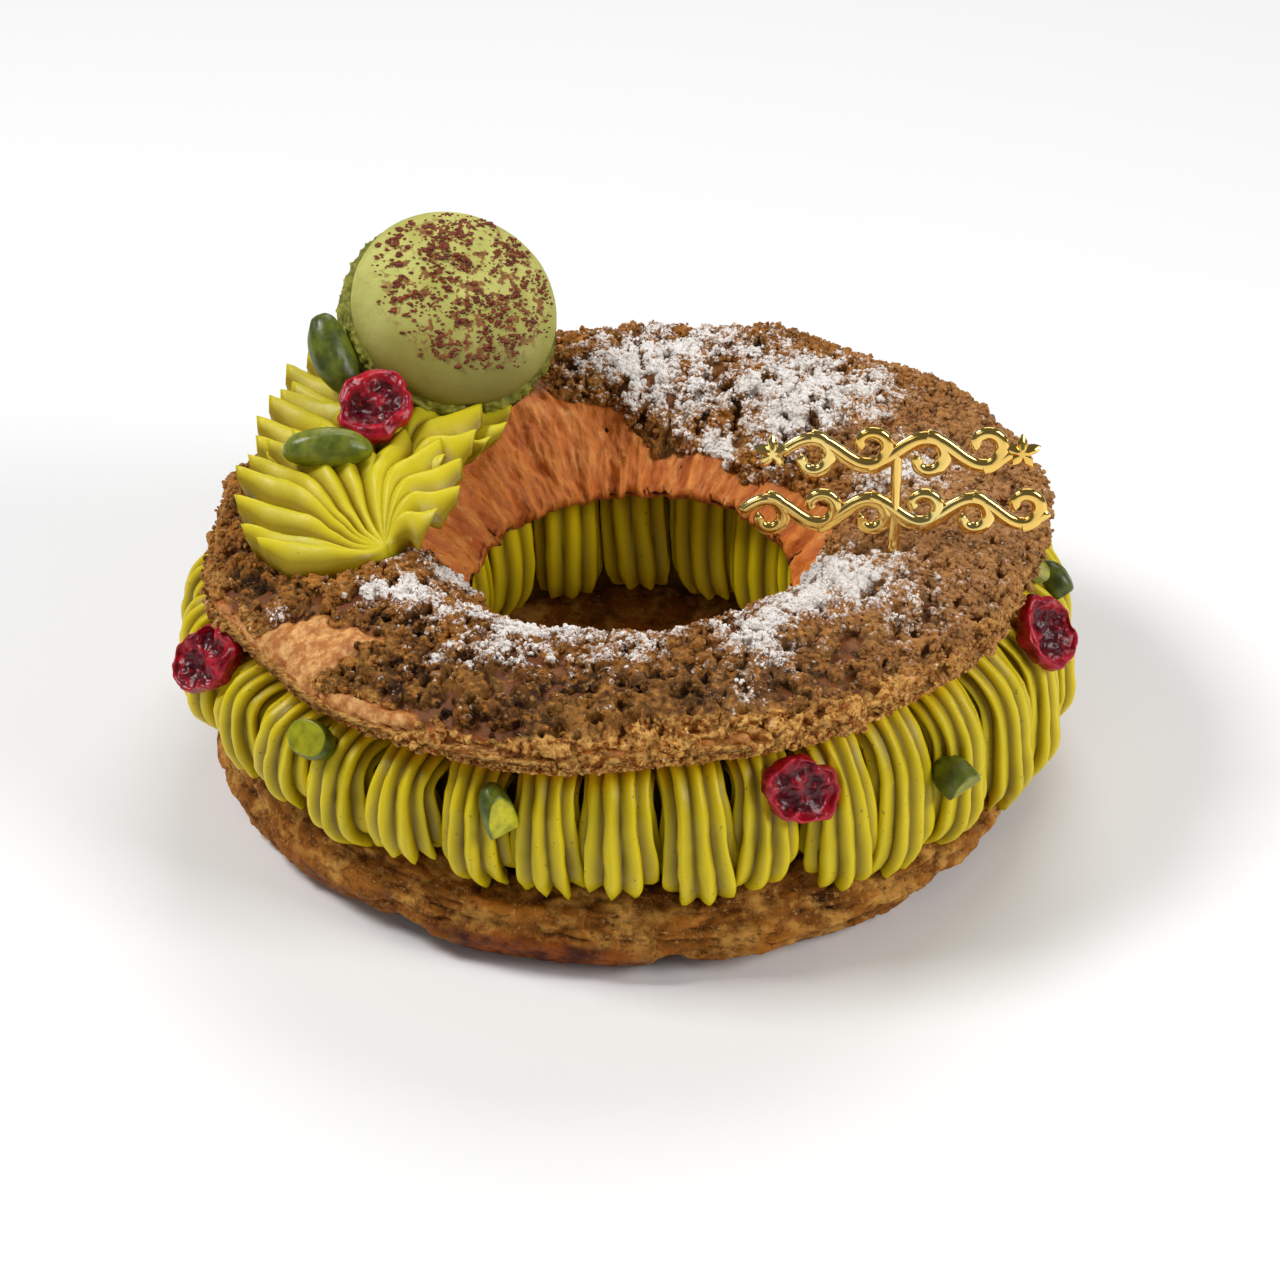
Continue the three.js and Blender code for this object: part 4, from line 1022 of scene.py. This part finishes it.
def makeMacaron():
    # caps and paste are made lying flat, then turned to face the way the whole macaron faces
    m = macaron
    facing = np.array(m["facing"]) / np.linalg.norm(m["facing"])
    spin = turnTo(facing)
    depth = m["foot"] + m["dome"]

    def placed(points, below):
        return points @ spin.T + np.array(m["apex"]) - facing * below

    shell = Finish("macaron cap", 0.62, Specular_IOR_Level=0.3)
    light = shell.mottle((176, 174, 86), (200, 198, 110), 9, 3, 0.35, 0.65)
    # the low mark paints shade on the dome's lower side
    light = shell.blend(shell.math("MULTIPLY", shell.mark("low"), 0.75), light, paint(112, 96, 26))
    light = shell.flecks(light, [((140, 132, 52), 1.1, 4, 0.7, 0.52, 0.7, 0.35)])
    # flakes that lie so close that they run together
    stain = shell.range(shell.noise(2.2, 5, 0.65), 0.53, 0.56)
    stain = shell.math("MULTIPLY", stain, shell.math("MULTIPLY", shell.mark("blotted"), 0.85))
    light = shell.blend(stain, light, shell.mottle((104, 40, 16), (146, 72, 36), 0.8, 3, 0.4, 0.6))
    # painted shade: the feet are darkest where the crest mark is low, in the ruffles' hollows
    foot = shell.blend(shell.range(shell.mark("crest"), 0.2, 0.8), paint(48, 56, 4), paint(160, 158, 52))
    foot = shell.flecks(foot, [((170, 162, 66), 0.7, 3, 0.55, 0.5, 0.7, 0.5)])
    shell.colour(shell.blend(shell.range(shell.mark("foot"), 0.3, 0.75), light, foot))
    shell.bump(shell.noise(0.45, 4, 0.6), 0.06)
    for name, node, seed, way, below in (("macaronFront", "macaron_front", 0, 1, depth),
                                         ("macaronBack", "macaron_back", 60, -1, depth + m["fill"])):
        points, marks = capPoints(seed)
        points = placed(points * np.array([1, way, way]), below)
        gridPiece(name, points, shell.material, [node], marks, False)
    paste = plainFinish("macaron paste", (74, 84, 18), (112, 122, 34), 2.5, 0.5, 0.2, 1.2)
    flat = np.linspace(0.02, 1, 6) * m["pasteRadius"]
    rim = np.concatenate([flat, m["pasteRadius"] + 0.3 + 0.6 * np.sin(np.linspace(0.3, 2.8, 8)), flat[::-1]])
    face = np.full(6, m["pasteHalf"])
    level = np.concatenate([-face, np.linspace(-0.85, 0.85, 8), face])
    points = polar(ringAngles(160), rim[None], level[None]).transpose(1, 0, 2)[None]
    bulge = (0.35 * layered(points, 2.4, 141, 2))[..., None] * [1, 1, 0.1]
    points = points + gridNormals(points, False) * bulge
    gridPiece("macaronPaste", placed(points, depth + m["fill"] / 2), paste,
              ["macaron_filling"], None, False)
    # red-brown flakes lie on the dome, thicker towards its upper right
    draw = np.random.default_rng(7)
    across = draw.uniform(-1, 1, (flakes["tries"], 2)) * m["pasteRadius"]
    out = np.hypot(across[:, 0], across[:, 1])
    clump = layered(np.column_stack([across, 0 * out]), flakes["clump"], 151, 2)
    want = flaked(across) * (0.1 + 1.1 * smooth(1.3 * clump + 0.45))
    keep = (out < flakes["within"]) & (draw.uniform(0, 1, len(out)) < flakes["keep"] * want)
    across, out = across[keep], out[keep]
    cosine = (out / m["domeRadius"]) ** (1 / m["power"])
    height = domeHeight(np.sqrt(1 - cosine ** 2)) + 0.02
    low, spread = flakes["size"]
    size = low + spread * draw.power(0.6, len(out)) * draw.uniform(0.15, 1, len(out))
    flake = plainFinish("red-brown flakes", (84, 28, 8), (138, 60, 24), 1.0, 0.8)
    places = placed(np.column_stack([across, height]), depth)
    scatterGrains("macaronFlakes", places, size, flake, 8, 0.5)


# nuts

nutLook = {"rows": 44, "around": 48, "pole": 0.04, "bend": 0.6, "rib": (0.16, 0.10),
           "wrinkle": (0.16, 1.6, 161), "cutShare": 0.92, "ripe": 0.1}
nutList = [
    {"name": "pistachioTopFront", "node": "pistachio_top_front", "place": (-51.3, -1.6, 60.4),
     "lie": (1, 0.06, -0.02), "size": (15.5, 7, 6.6), "ripe": 0.85},
    {"name": "pistachioTopBack", "node": "pistachio_top_back", "place": (-51.9, 19.8, 66.4),
     "lie": (-0.36, 0.52, 0.75), "size": (15, 7.6, 6.6)},
    {"name": "pistachioSideLeft", "node": "pistachio_side_left", "lie": (0.75, -0.66, 0.1),
     "size": (8, 8.2, 6.4), "cutFace": (-0.42, -0.72, 0.55), "faceAt": 1.5, "bright": 0.6},
    {"name": "pistachioSideFront", "node": "pistachio_side_front", "lie": (0.35, -0.35, -0.87),
     "size": (12, 6.2, 5.6), "cutFace": (0.6, -0.78, 0.16), "faceAt": 0.9, "cut": 0.45},
    {"name": "pistachioSideRight", "node": "pistachio_side_right", "lie": (0.6, -0.75, -0.25),
     "size": (10, 7, 6.6), "cutFace": (0.55, -0.55, -0.62), "faceAt": 2.2, "cut": 0.5},
    {"name": "pistachioFarRight", "node": "pistachio_far_right", "place": onRing(-6.5, 75.4, 37.2),
     "lie": (0.55, -0.35, -0.75), "size": (8.5, 5.4, 5), "cut": 0.6},
    {"name": "pistachioChipRight", "node": "pistachio_chip_right", "place": onRing(-9.5, 72, 41.6),
     "lie": (0.3, -0.9, 0.3), "size": (5, 4.6, 3.8), "cutFace": (0.5, -0.6, 0.6), "faceAt": 0.6, "cut": 0.4,
     "bright": 0.7}]


def makeNuts():
    # an ellipsoid along each nut, a little bent, ribbed lengthwise, with an end or a face cut off flat
    skin = Finish("pistachio skin", 0.36, Subsurface_Weight=0.1, Subsurface_Radius=(0.4, 1.0, 0.2),
                  Subsurface_Scale=0.001)
    tone = skin.mottle((46, 60, 8), (104, 116, 22), 3.5, 3, 0.38, 0.66)
    tone = skin.blend(skin.mark("ripe"), tone, skin.mottle((84, 98, 14), (140, 146, 34), 4, 3, 0.35, 0.65))
    tone = skin.flecks(tone, [((52, 44, 26), 1.4, 3, 0.55, 0.56, 0.72, 0.4)])
    flesh = skin.mottle((150, 148, 6), (212, 206, 18), 2, 2, 0.3, 0.7)
    skin.colour(skin.blend(skin.mark("cut"), tone, flesh))
    skin.bump(skin.noise(0.7, 4, 0.6), 0.05)
    look = nutLook
    fromTop = np.linspace(look["pole"], math.pi - look["pole"], look["rows"])[:, None]
    spin = ringAngles(look["around"]).T
    for k, nut in enumerate(nutList):
        length, width, thick = nut["size"]
        cut = nut.get("cut", 1)
        along = np.minimum(np.cos(fromTop), cut)
        inside = np.where(np.cos(fromTop) > cut, np.sin(fromTop) / math.sqrt(max(1 - cut ** 2, 1e-6)), 1)
        full = np.sqrt(np.maximum(0, 1 - along ** 2)) ** 0.85 * np.minimum(inside, 1)
        onSkin = smooth((cut - np.cos(fromTop)) / 0.08 + 0.5) if cut < 1 else 1 + 0 * fromTop
        wide, fine = look["rib"]
        rib = wide * np.sin(5 * spin + 1.3 * k) + fine * np.sin(9 * spin + 2 * k + 1.5 * along)
        radius = full * (1 + 0.11 * rib * onSkin * full)
        points = np.stack([radius * width / 2 * np.cos(spin) + look["bend"] * along ** 2,
                           radius * thick / 2 * np.sin(spin), along * length / 2 + 0 * spin], axis=-1)[None]
        amount, size, seed = look["wrinkle"]
        wrinkle = layered(points * np.array([1, 1, 0.35]) + 20 * k, size, seed + k, 3)
        points = points + gridNormals(points, False) * (amount * wrinkle * onSkin)[..., None]
        cutMark = 0.35 * np.broadcast_to(1 - onSkin, points.shape[1:-1])[None]
        points = points @ turnTo(nut["lie"]).T
        if "cutFace" in nut:
            # what lies beyond the face is pressed almost flat against it
            face = np.array(nut["cutFace"]) / np.linalg.norm(nut["cutFace"])
            beyond = points @ face - nut["faceAt"]
            points = points - (look["cutShare"] * np.maximum(beyond, 0))[..., None] * face
            cutMark = np.maximum(cutMark, nut.get("bright", 1) * smooth(beyond / 0.45))
        place = beds[nut["name"]][0] if nut["name"] in beds else nut["place"]
        marks = {"cut": cutMark, "ripe": np.full(cutMark.shape, nut.get("ripe", look["ripe"]))}
        gridPiece(nut["name"], points + np.array(place), skin.material, [nut["node"]], marks, False)


# berries

berryLook = {"radius": 6.3, "thick": 6, "hollow": 2.4, "rows": 60, "around": 90, "pole": 0.05, "wave": 0.7,
             "inner": (0.6, 2.2, 181), "chamber": (2.3, 4.6, 187), "fold": (0.5, 1.7, 191)}
berryList = [
    {"name": "cranberryTop", "node": "cranberry_top", "place": (-43.8, 8.6, 62.8),
     "face": (0.12, -0.62, 0.77), "seed": 5.1, "long": 1.13, "swing": 24},
    {"name": "cranberrySideLeft", "node": "cranberry_side_left", "seed": 1},
    {"name": "cranberrySideFront", "node": "cranberry_side_front", "seed": 2.2},
    {"name": "cranberrySideRight", "node": "cranberry_side_right", "seed": 3.7}]


def makeBerries():
    # a thick disc with its face sunk inside a folded rim, wrinkled outside and torn into chambers inside
    skin = Finish("dried cranberry", 0.26, Specular_IOR_Level=0.4, Subsurface_Weight=0.2,
                  Subsurface_Radius=(1.0, 0.1, 0.08), Subsurface_Scale=0.0012)
    tone = skin.mottle((112, 6, 26), (188, 16, 40), 2.6, 3, 0.38, 0.64)
    # painted shade: the deep mark darkens the hollow and its chambers
    tone = skin.blend(skin.range(skin.mark("deep"), 0.25, 0.8, 0, 0.9), tone, paint(62, 2, 12))
    tone = skin.blend(skin.range(skin.mark("rim"), 0.35, 0.9, 0, 0.5), tone, paint(184, 22, 46))
    skin.colour(skin.flecks(tone, [((216, 40, 52), 1.0, 4, 0.55, 0.55, 0.7, 0.5)]))
    skin.bump(skin.noise(0.8, 4, 0.6), 0.12)
    look = berryLook
    fromTop = np.linspace(look["pole"], math.pi - look["pole"], look["rows"])[:, None]
    spin = ringAngles(look["around"]).T
    (inner, innerSize, innerSeed), (torn, tornSize, tornSeed) = look["inner"], look["chamber"]
    outer, foldSize, foldSeed = look["fold"]
    for k, berry in enumerate(berryList):
        seed = berry["seed"]
        wave = waves(spin, ((0.8, 2, seed), (0.4, 5, 2 * seed), (0.24, 9, 3 * seed)))
        out = np.sin(fromTop) ** 0.7
        radius = out * (look["radius"] + look["wave"] * wave * out)
        up = np.cos(fromTop)
        face = smooth((up + 0.05) / 0.2)
        sink = look["hollow"] * (1 - out ** 2) ** 0.8 * face
        height = np.sign(up) * np.abs(up) ** 0.6 * look["thick"] / 2 - sink * 1.15
        points = polar(spin, radius, height * np.ones_like(spin))[None] * np.array([1, 0.92, 1])
        flesh = layered(points + 30 * k, innerSize, innerSeed, 3)
        chamber = pebbles(points * np.array([1, 1, 0.3]) + 30 * k, tornSize, tornSeed)
        fold = layered(points * np.array([1, 1, 0.5]) + 30 * k, foldSize, foldSeed, 3)
        depth = face * (inner * flesh + torn * (chamber - 0.6)) * smooth((0.93 - out) / 0.12)
        depth = depth + (1 - face) * outer * fold + 0.3 * face * fold
        points = points + gridNormals(points, False) * depth[..., None]
        # deep paints shade in the hollow, most in its recessed chambers
        marks = {"deep": face * smooth((0.85 - out) / 0.3) * np.clip(0.75 - 0.9 * depth, 0, 1),
                 "rim": face * smooth((out - 0.84) / 0.12)}
        swing = berry.get("swing", 0)
        swung = np.column_stack([heading(swing), heading(swing + 90), [0, 0, 1]])
        points = points * np.array([berry.get("long", 1), 1, 1]) @ swung.T
        if berry["name"] in beds:
            place, way = beds[berry["name"]][:2]
        else:
            place, way = berry["place"], berry["face"]
        points = points @ turnTo(way).T + np.array(place)
        gridPiece(berry["name"], points, skin.material, [berry["node"]], marks, False)


# gilt ornament: two tiers of scrolls, two stars and a stake, all with bevelled edges

ornament = {
    "place": (44.8, -23, 55), "lean": 6, "thick": 1.2, "bevel": 0.38, "rows": 90, "swell": 0.08,
    # each tier: width, height, waves of its stem and height of its foot
    "lower": (51, 11, 3, 0), "upper": (38, 12, 2, 10.4), "stem": (2.0, 0.8), "curl": (2.8, 1.0),
    "stakeWidth": 1.8, "stakeDepth": 11,
    "starRadius": 3.2, "starGap": 1.6, "starInner": 0.45, "starPoints": 60,
    # a star's section, from its raised middle to the rim, over the edge and back: share of radius, height
    "starSection": ((0.3, 1.05), (0.75, 0.8), (1.0, 0.35), (1.0, -0.35), (0.75, -0.75), (0.3, -0.75))}


def ribbon(line, halfWidth):
    # a bevelled strip along a flat line: the section is a flat hexagon with its faces chamfered
    line = np.asarray(line, float)
    way = np.gradient(line, axis=0)
    way /= np.linalg.norm(way, axis=-1, keepdims=True)
    side = np.stack([-way[:, 1], way[:, 0]], axis=-1)
    w, t, b, top = halfWidth[:, None], ornament["thick"] / 2, ornament["bevel"], ornament["swell"]
    inset = np.minimum(b, 0.45 * w)
    half = [-w, -w + inset, 0 * w, w - inset, w]
    across = np.concatenate(half + half[::-1], axis=1)
    level = np.array([t - b, t, t + top, t, t - b, b - t, -t, -t - top, -t, b - t])[None] + 0 * w
    flat = line[:, None] + side[:, None] * across[..., None]
    return np.concatenate([flat, level[..., None]], axis=-1)


def tierStrips(width, height, count, foot):
    # a stem along a sine wave, and a spiral curling out of each of its half waves
    def stem(s):
        wave = np.sin(s * count * turn)
        return np.stack([width * (s - 0.5), foot + height / 2 + 0.2 * height * wave], axis=-1)

    t = np.linspace(0, 1, ornament["rows"])
    middle, end = ornament["stem"]
    strips = [ribbon(stem(t), 0.5 * (middle + end * np.sin(t * math.pi)))]
    for i in range(2 * count):
        side = 1 if i % 2 == 0 else -1
        root = stem(np.array((i + 0.5) / (2 * count)))
        reach = height * 0.33
        angle = side * math.pi / 2 - side * 0.8 * turn * t
        r = reach * (1 - 0.72 * t)
        middleY = root[1] - side * reach * 0.9
        curl = np.stack([root[0] + r * np.cos(angle), middleY + r * np.sin(angle)], axis=-1)
        first, less = ornament["curl"]
        strips.append(ribbon(curl, 0.5 * (first - less * t)))
    return strips


def makeOrnament():
    # made flat, then stood up and leant back
    o = ornament
    middle = o["upper"][3] + o["upper"][1] / 2
    tall = np.linspace(-o["stakeDepth"], middle, o["rows"])
    taper = np.clip((tall + o["stakeDepth"]) / 2, 0.08, 1) * o["stakeWidth"] / 2
    stake = ribbon(np.stack([0 * tall, tall], axis=-1), taper)
    lean = math.pi / 2 - math.radians(o["lean"])
    tip = np.array([[1, 0, 0], [0, math.cos(lean), -math.sin(lean)], [0, math.sin(lean), math.cos(lean)]])
    gold = Finish("gold film", 0.12, Metallic=1.0)
    gold.colour(gold.mottle((242, 196, 96), (254, 230, 146), 30, 2, 0.35, 0.65))
    gold.bump(gold.noise(6, 2), 0.12, 0.6)
    strips = np.stack(tierStrips(*o["lower"]) + tierStrips(*o["upper"]) + [stake])
    points = strips @ tip.T + np.array(o["place"])
    gridPiece("giltScrolls", points, gold.material, ["gilt_ornament"], None, False)
    # a five-pointed star: its outline runs straight between outer and inner corners, six steps to each side
    corner = np.arange(o["starPoints"])
    spoke = corner % 6 / 6
    outward = np.where(corner // 6 % 2 == 0, mix(1, o["starInner"], spoke), mix(o["starInner"], 1, spoke))
    reach = outward * o["starRadius"]
    angle = math.pi / 2 + corner / o["starPoints"] * turn
    stars = []
    for side in (-1, 1):
        x = side * (o["upper"][0] / 2 + o["starGap"])
        stars.append([polar(angle, s * reach, z) + [x, middle, 0] for s, z in o["starSection"]])
    points = np.array(stars) @ tip.T + np.array(o["place"])
    gridPiece("giltStars", points, gold.material, ["gilt_ornament"], None, False, flat=True)


# crumbs and powdered sugar lying on the lid

grains = {
    # each: seed, smallest size, spread of sizes, lift; the finer ones lie between the others and on them
    "crumbs": {"lidCrumbs": (22, 0.56, 0.6, -0.3), "lidFines": (25, 0.26, 0.34, 0.05)}, "crumbCount": 9500,
    "dusted": 0.3, "fringeCount": 3600, "clumpCount": 7000, "clumpSize": (0.12, 0.36)}


def makeGrains(grid):
    # crumbs, a hanging fringe and clumps of sugar: places drawn at random from the grid, by weight
    points, normal, cover, sugar, crest, fringe, tan = (v.reshape(-1, *v.shape[2:]) for v in grid)
    draw = np.random.default_rng(21)

    def pick(weight, count):
        weight = np.clip(weight, 0, None)
        return draw.choice(len(weight), count, replace=False, p=weight / weight.sum())

    for name, (seed, low, spread, lift) in grains["crumbs"].items():
        at = pick(cover * (0.08 + crest ** 1.6), grains["crumbCount"])
        size = low + spread * draw.uniform(0, 1, len(at)) ** 1.6
        places = points[at] + normal[at] * lift + draw.uniform(-0.3, 0.3, (len(at), 3))
        # each crumb takes the crest mark near it, with its painted shade and light
        own = np.clip(crest[at] + 0.26 * draw.uniform(-1, 1, len(at)), 0, 1)
        dust = sugar[at] * (1 - 0.8 * fringe[at])
        marks = {"crest": own, "sugar": dust, "fringe": fringe[at], "tan": tan[at]}
        scatterGrains(name, places, size, crackleMaterial, seed, 1.0, marks,
                      grains["dusted"])
    # the fringe hangs under the rim, most of it at the front
    count = grains["fringeCount"]
    turns = math.pi * 1.5 + math.pi * 0.9 * draw.uniform(-1, 1, count) ** 3 * 0.9
    sink = draw.uniform(0, 1, count)
    rim = lidReach(turns) - 0.2 - 1.6 * sink ** 2 + 0.5 * layered(polar(turns, 70.0, 0.0), 3, 211, 2)
    low = undersideHeight(turns, rim) + 0.1 + 2.2 * draw.uniform(0, 1, count) ** 1.5 * (1 - sink)
    size = 0.25 + 0.5 * draw.uniform(0, 1, count) ** 1.6
    marks = {"crest": draw.uniform(0.1, 0.9, count), "sugar": 0 * turns,
             "fringe": draw.uniform(0.75, 1, count)}
    scatterGrains("lidFringe", polar(turns, rim, low), size, crackleMaterial, 24, 1.0, marks)
    sugarTone = plainFinish("powdered sugar", (240, 234, 228), (252, 250, 248), 1.0, 0.8, 0.1, 0.3)
    dusty = smooth((sugar - 0.3) / 0.7) * (0.2 + crest) * np.clip(normal[:, 2], 0, 1)
    at = pick(cover * dusty, grains["clumpCount"])
    low, spread = grains["clumpSize"]
    size = low + spread * draw.uniform(0, 1, len(at)) ** 2.5
    places = points[at] + normal[at] * 0.12 + draw.uniform(-0.2, 0.2, (len(at), 3))
    scatterGrains("sugarClumps", places, size, sugarTone, 23)


makeCrust()
makeOuterStrokes()
makeInnerStrokes()
makeCore()
makeLidShell()
crackleGrid = makeCrackle()
print("rings done")
makeShells()
makeMacaron()
makeNuts()
makeBerries()
makeOrnament()
makeGrains(crackleGrid)
print("toppings done")


# floor and light

# each lamp: place in m, size in m and power; all face one point just above the floor
lights = {"key": ((-0.58, 0.0, 0.8), (0.3, 0.3), 6.0), "back": ((0.2, 0.75, 0.9), (0.7, 0.5), 4.6),
          "right": ((0.75, -0.35, 0.55), (0.4, 0.4), 5.0), "front": ((-0.35, -0.8, 0.55), (0.35, 0.3), 0.5)}
stage = {"lightAim": (0, 0, 0.03), "sky": 0.12, "floorHalf": 8, "floorDrop": 0.0002}


def makeStage():
    # four soft lamps, an even white sky and a wide floor just under the cake
    for name, (place, size, power) in lights.items():
        data = bpy.data.lights.new(name, "AREA")
        data.shape, data.size, data.size_y = "RECTANGLE", size[0], size[1]
        data.energy = power
        lamp = bpy.data.objects.new(name, data)
        lamp.location = place
        lamp.rotation_euler = (Vector(stage["lightAim"]) - Vector(place)).to_track_quat("-Z", "Y").to_euler()
        bpy.context.scene.collection.objects.link(lamp)
    world = bpy.data.worlds.new("studio")
    world.use_nodes = True
    sky = world.node_tree.nodes["Background"].inputs
    sky["Color"].default_value = (1, 1, 1, 1)
    sky["Strength"].default_value = stage["sky"]
    bpy.context.scene.world = world
    half = stage["floorHalf"]
    mesh = bpy.data.meshes.new("floor")
    corners = [(-half, -half, 0), (half, -half, 0), (half, half, 0), (-half, half, 0)]
    mesh.from_pydata(corners, [], [(0, 1, 2, 3)])
    floor = bpy.data.objects.new("floor", mesh)
    f = Finish("pale floor", 0.5)
    f.colour(f.blend(f.noise(400, 2), (0.93, 0.93, 0.94, 1), (0.95, 0.95, 0.95, 1)))
    mesh.materials.append(f.material)
    floor.location = (0, 0, -stage["floorDrop"])
    bpy.context.scene.collection.objects.link(floor)
    bpy.context.scene.view_settings.view_transform = "Standard"


makeStage()
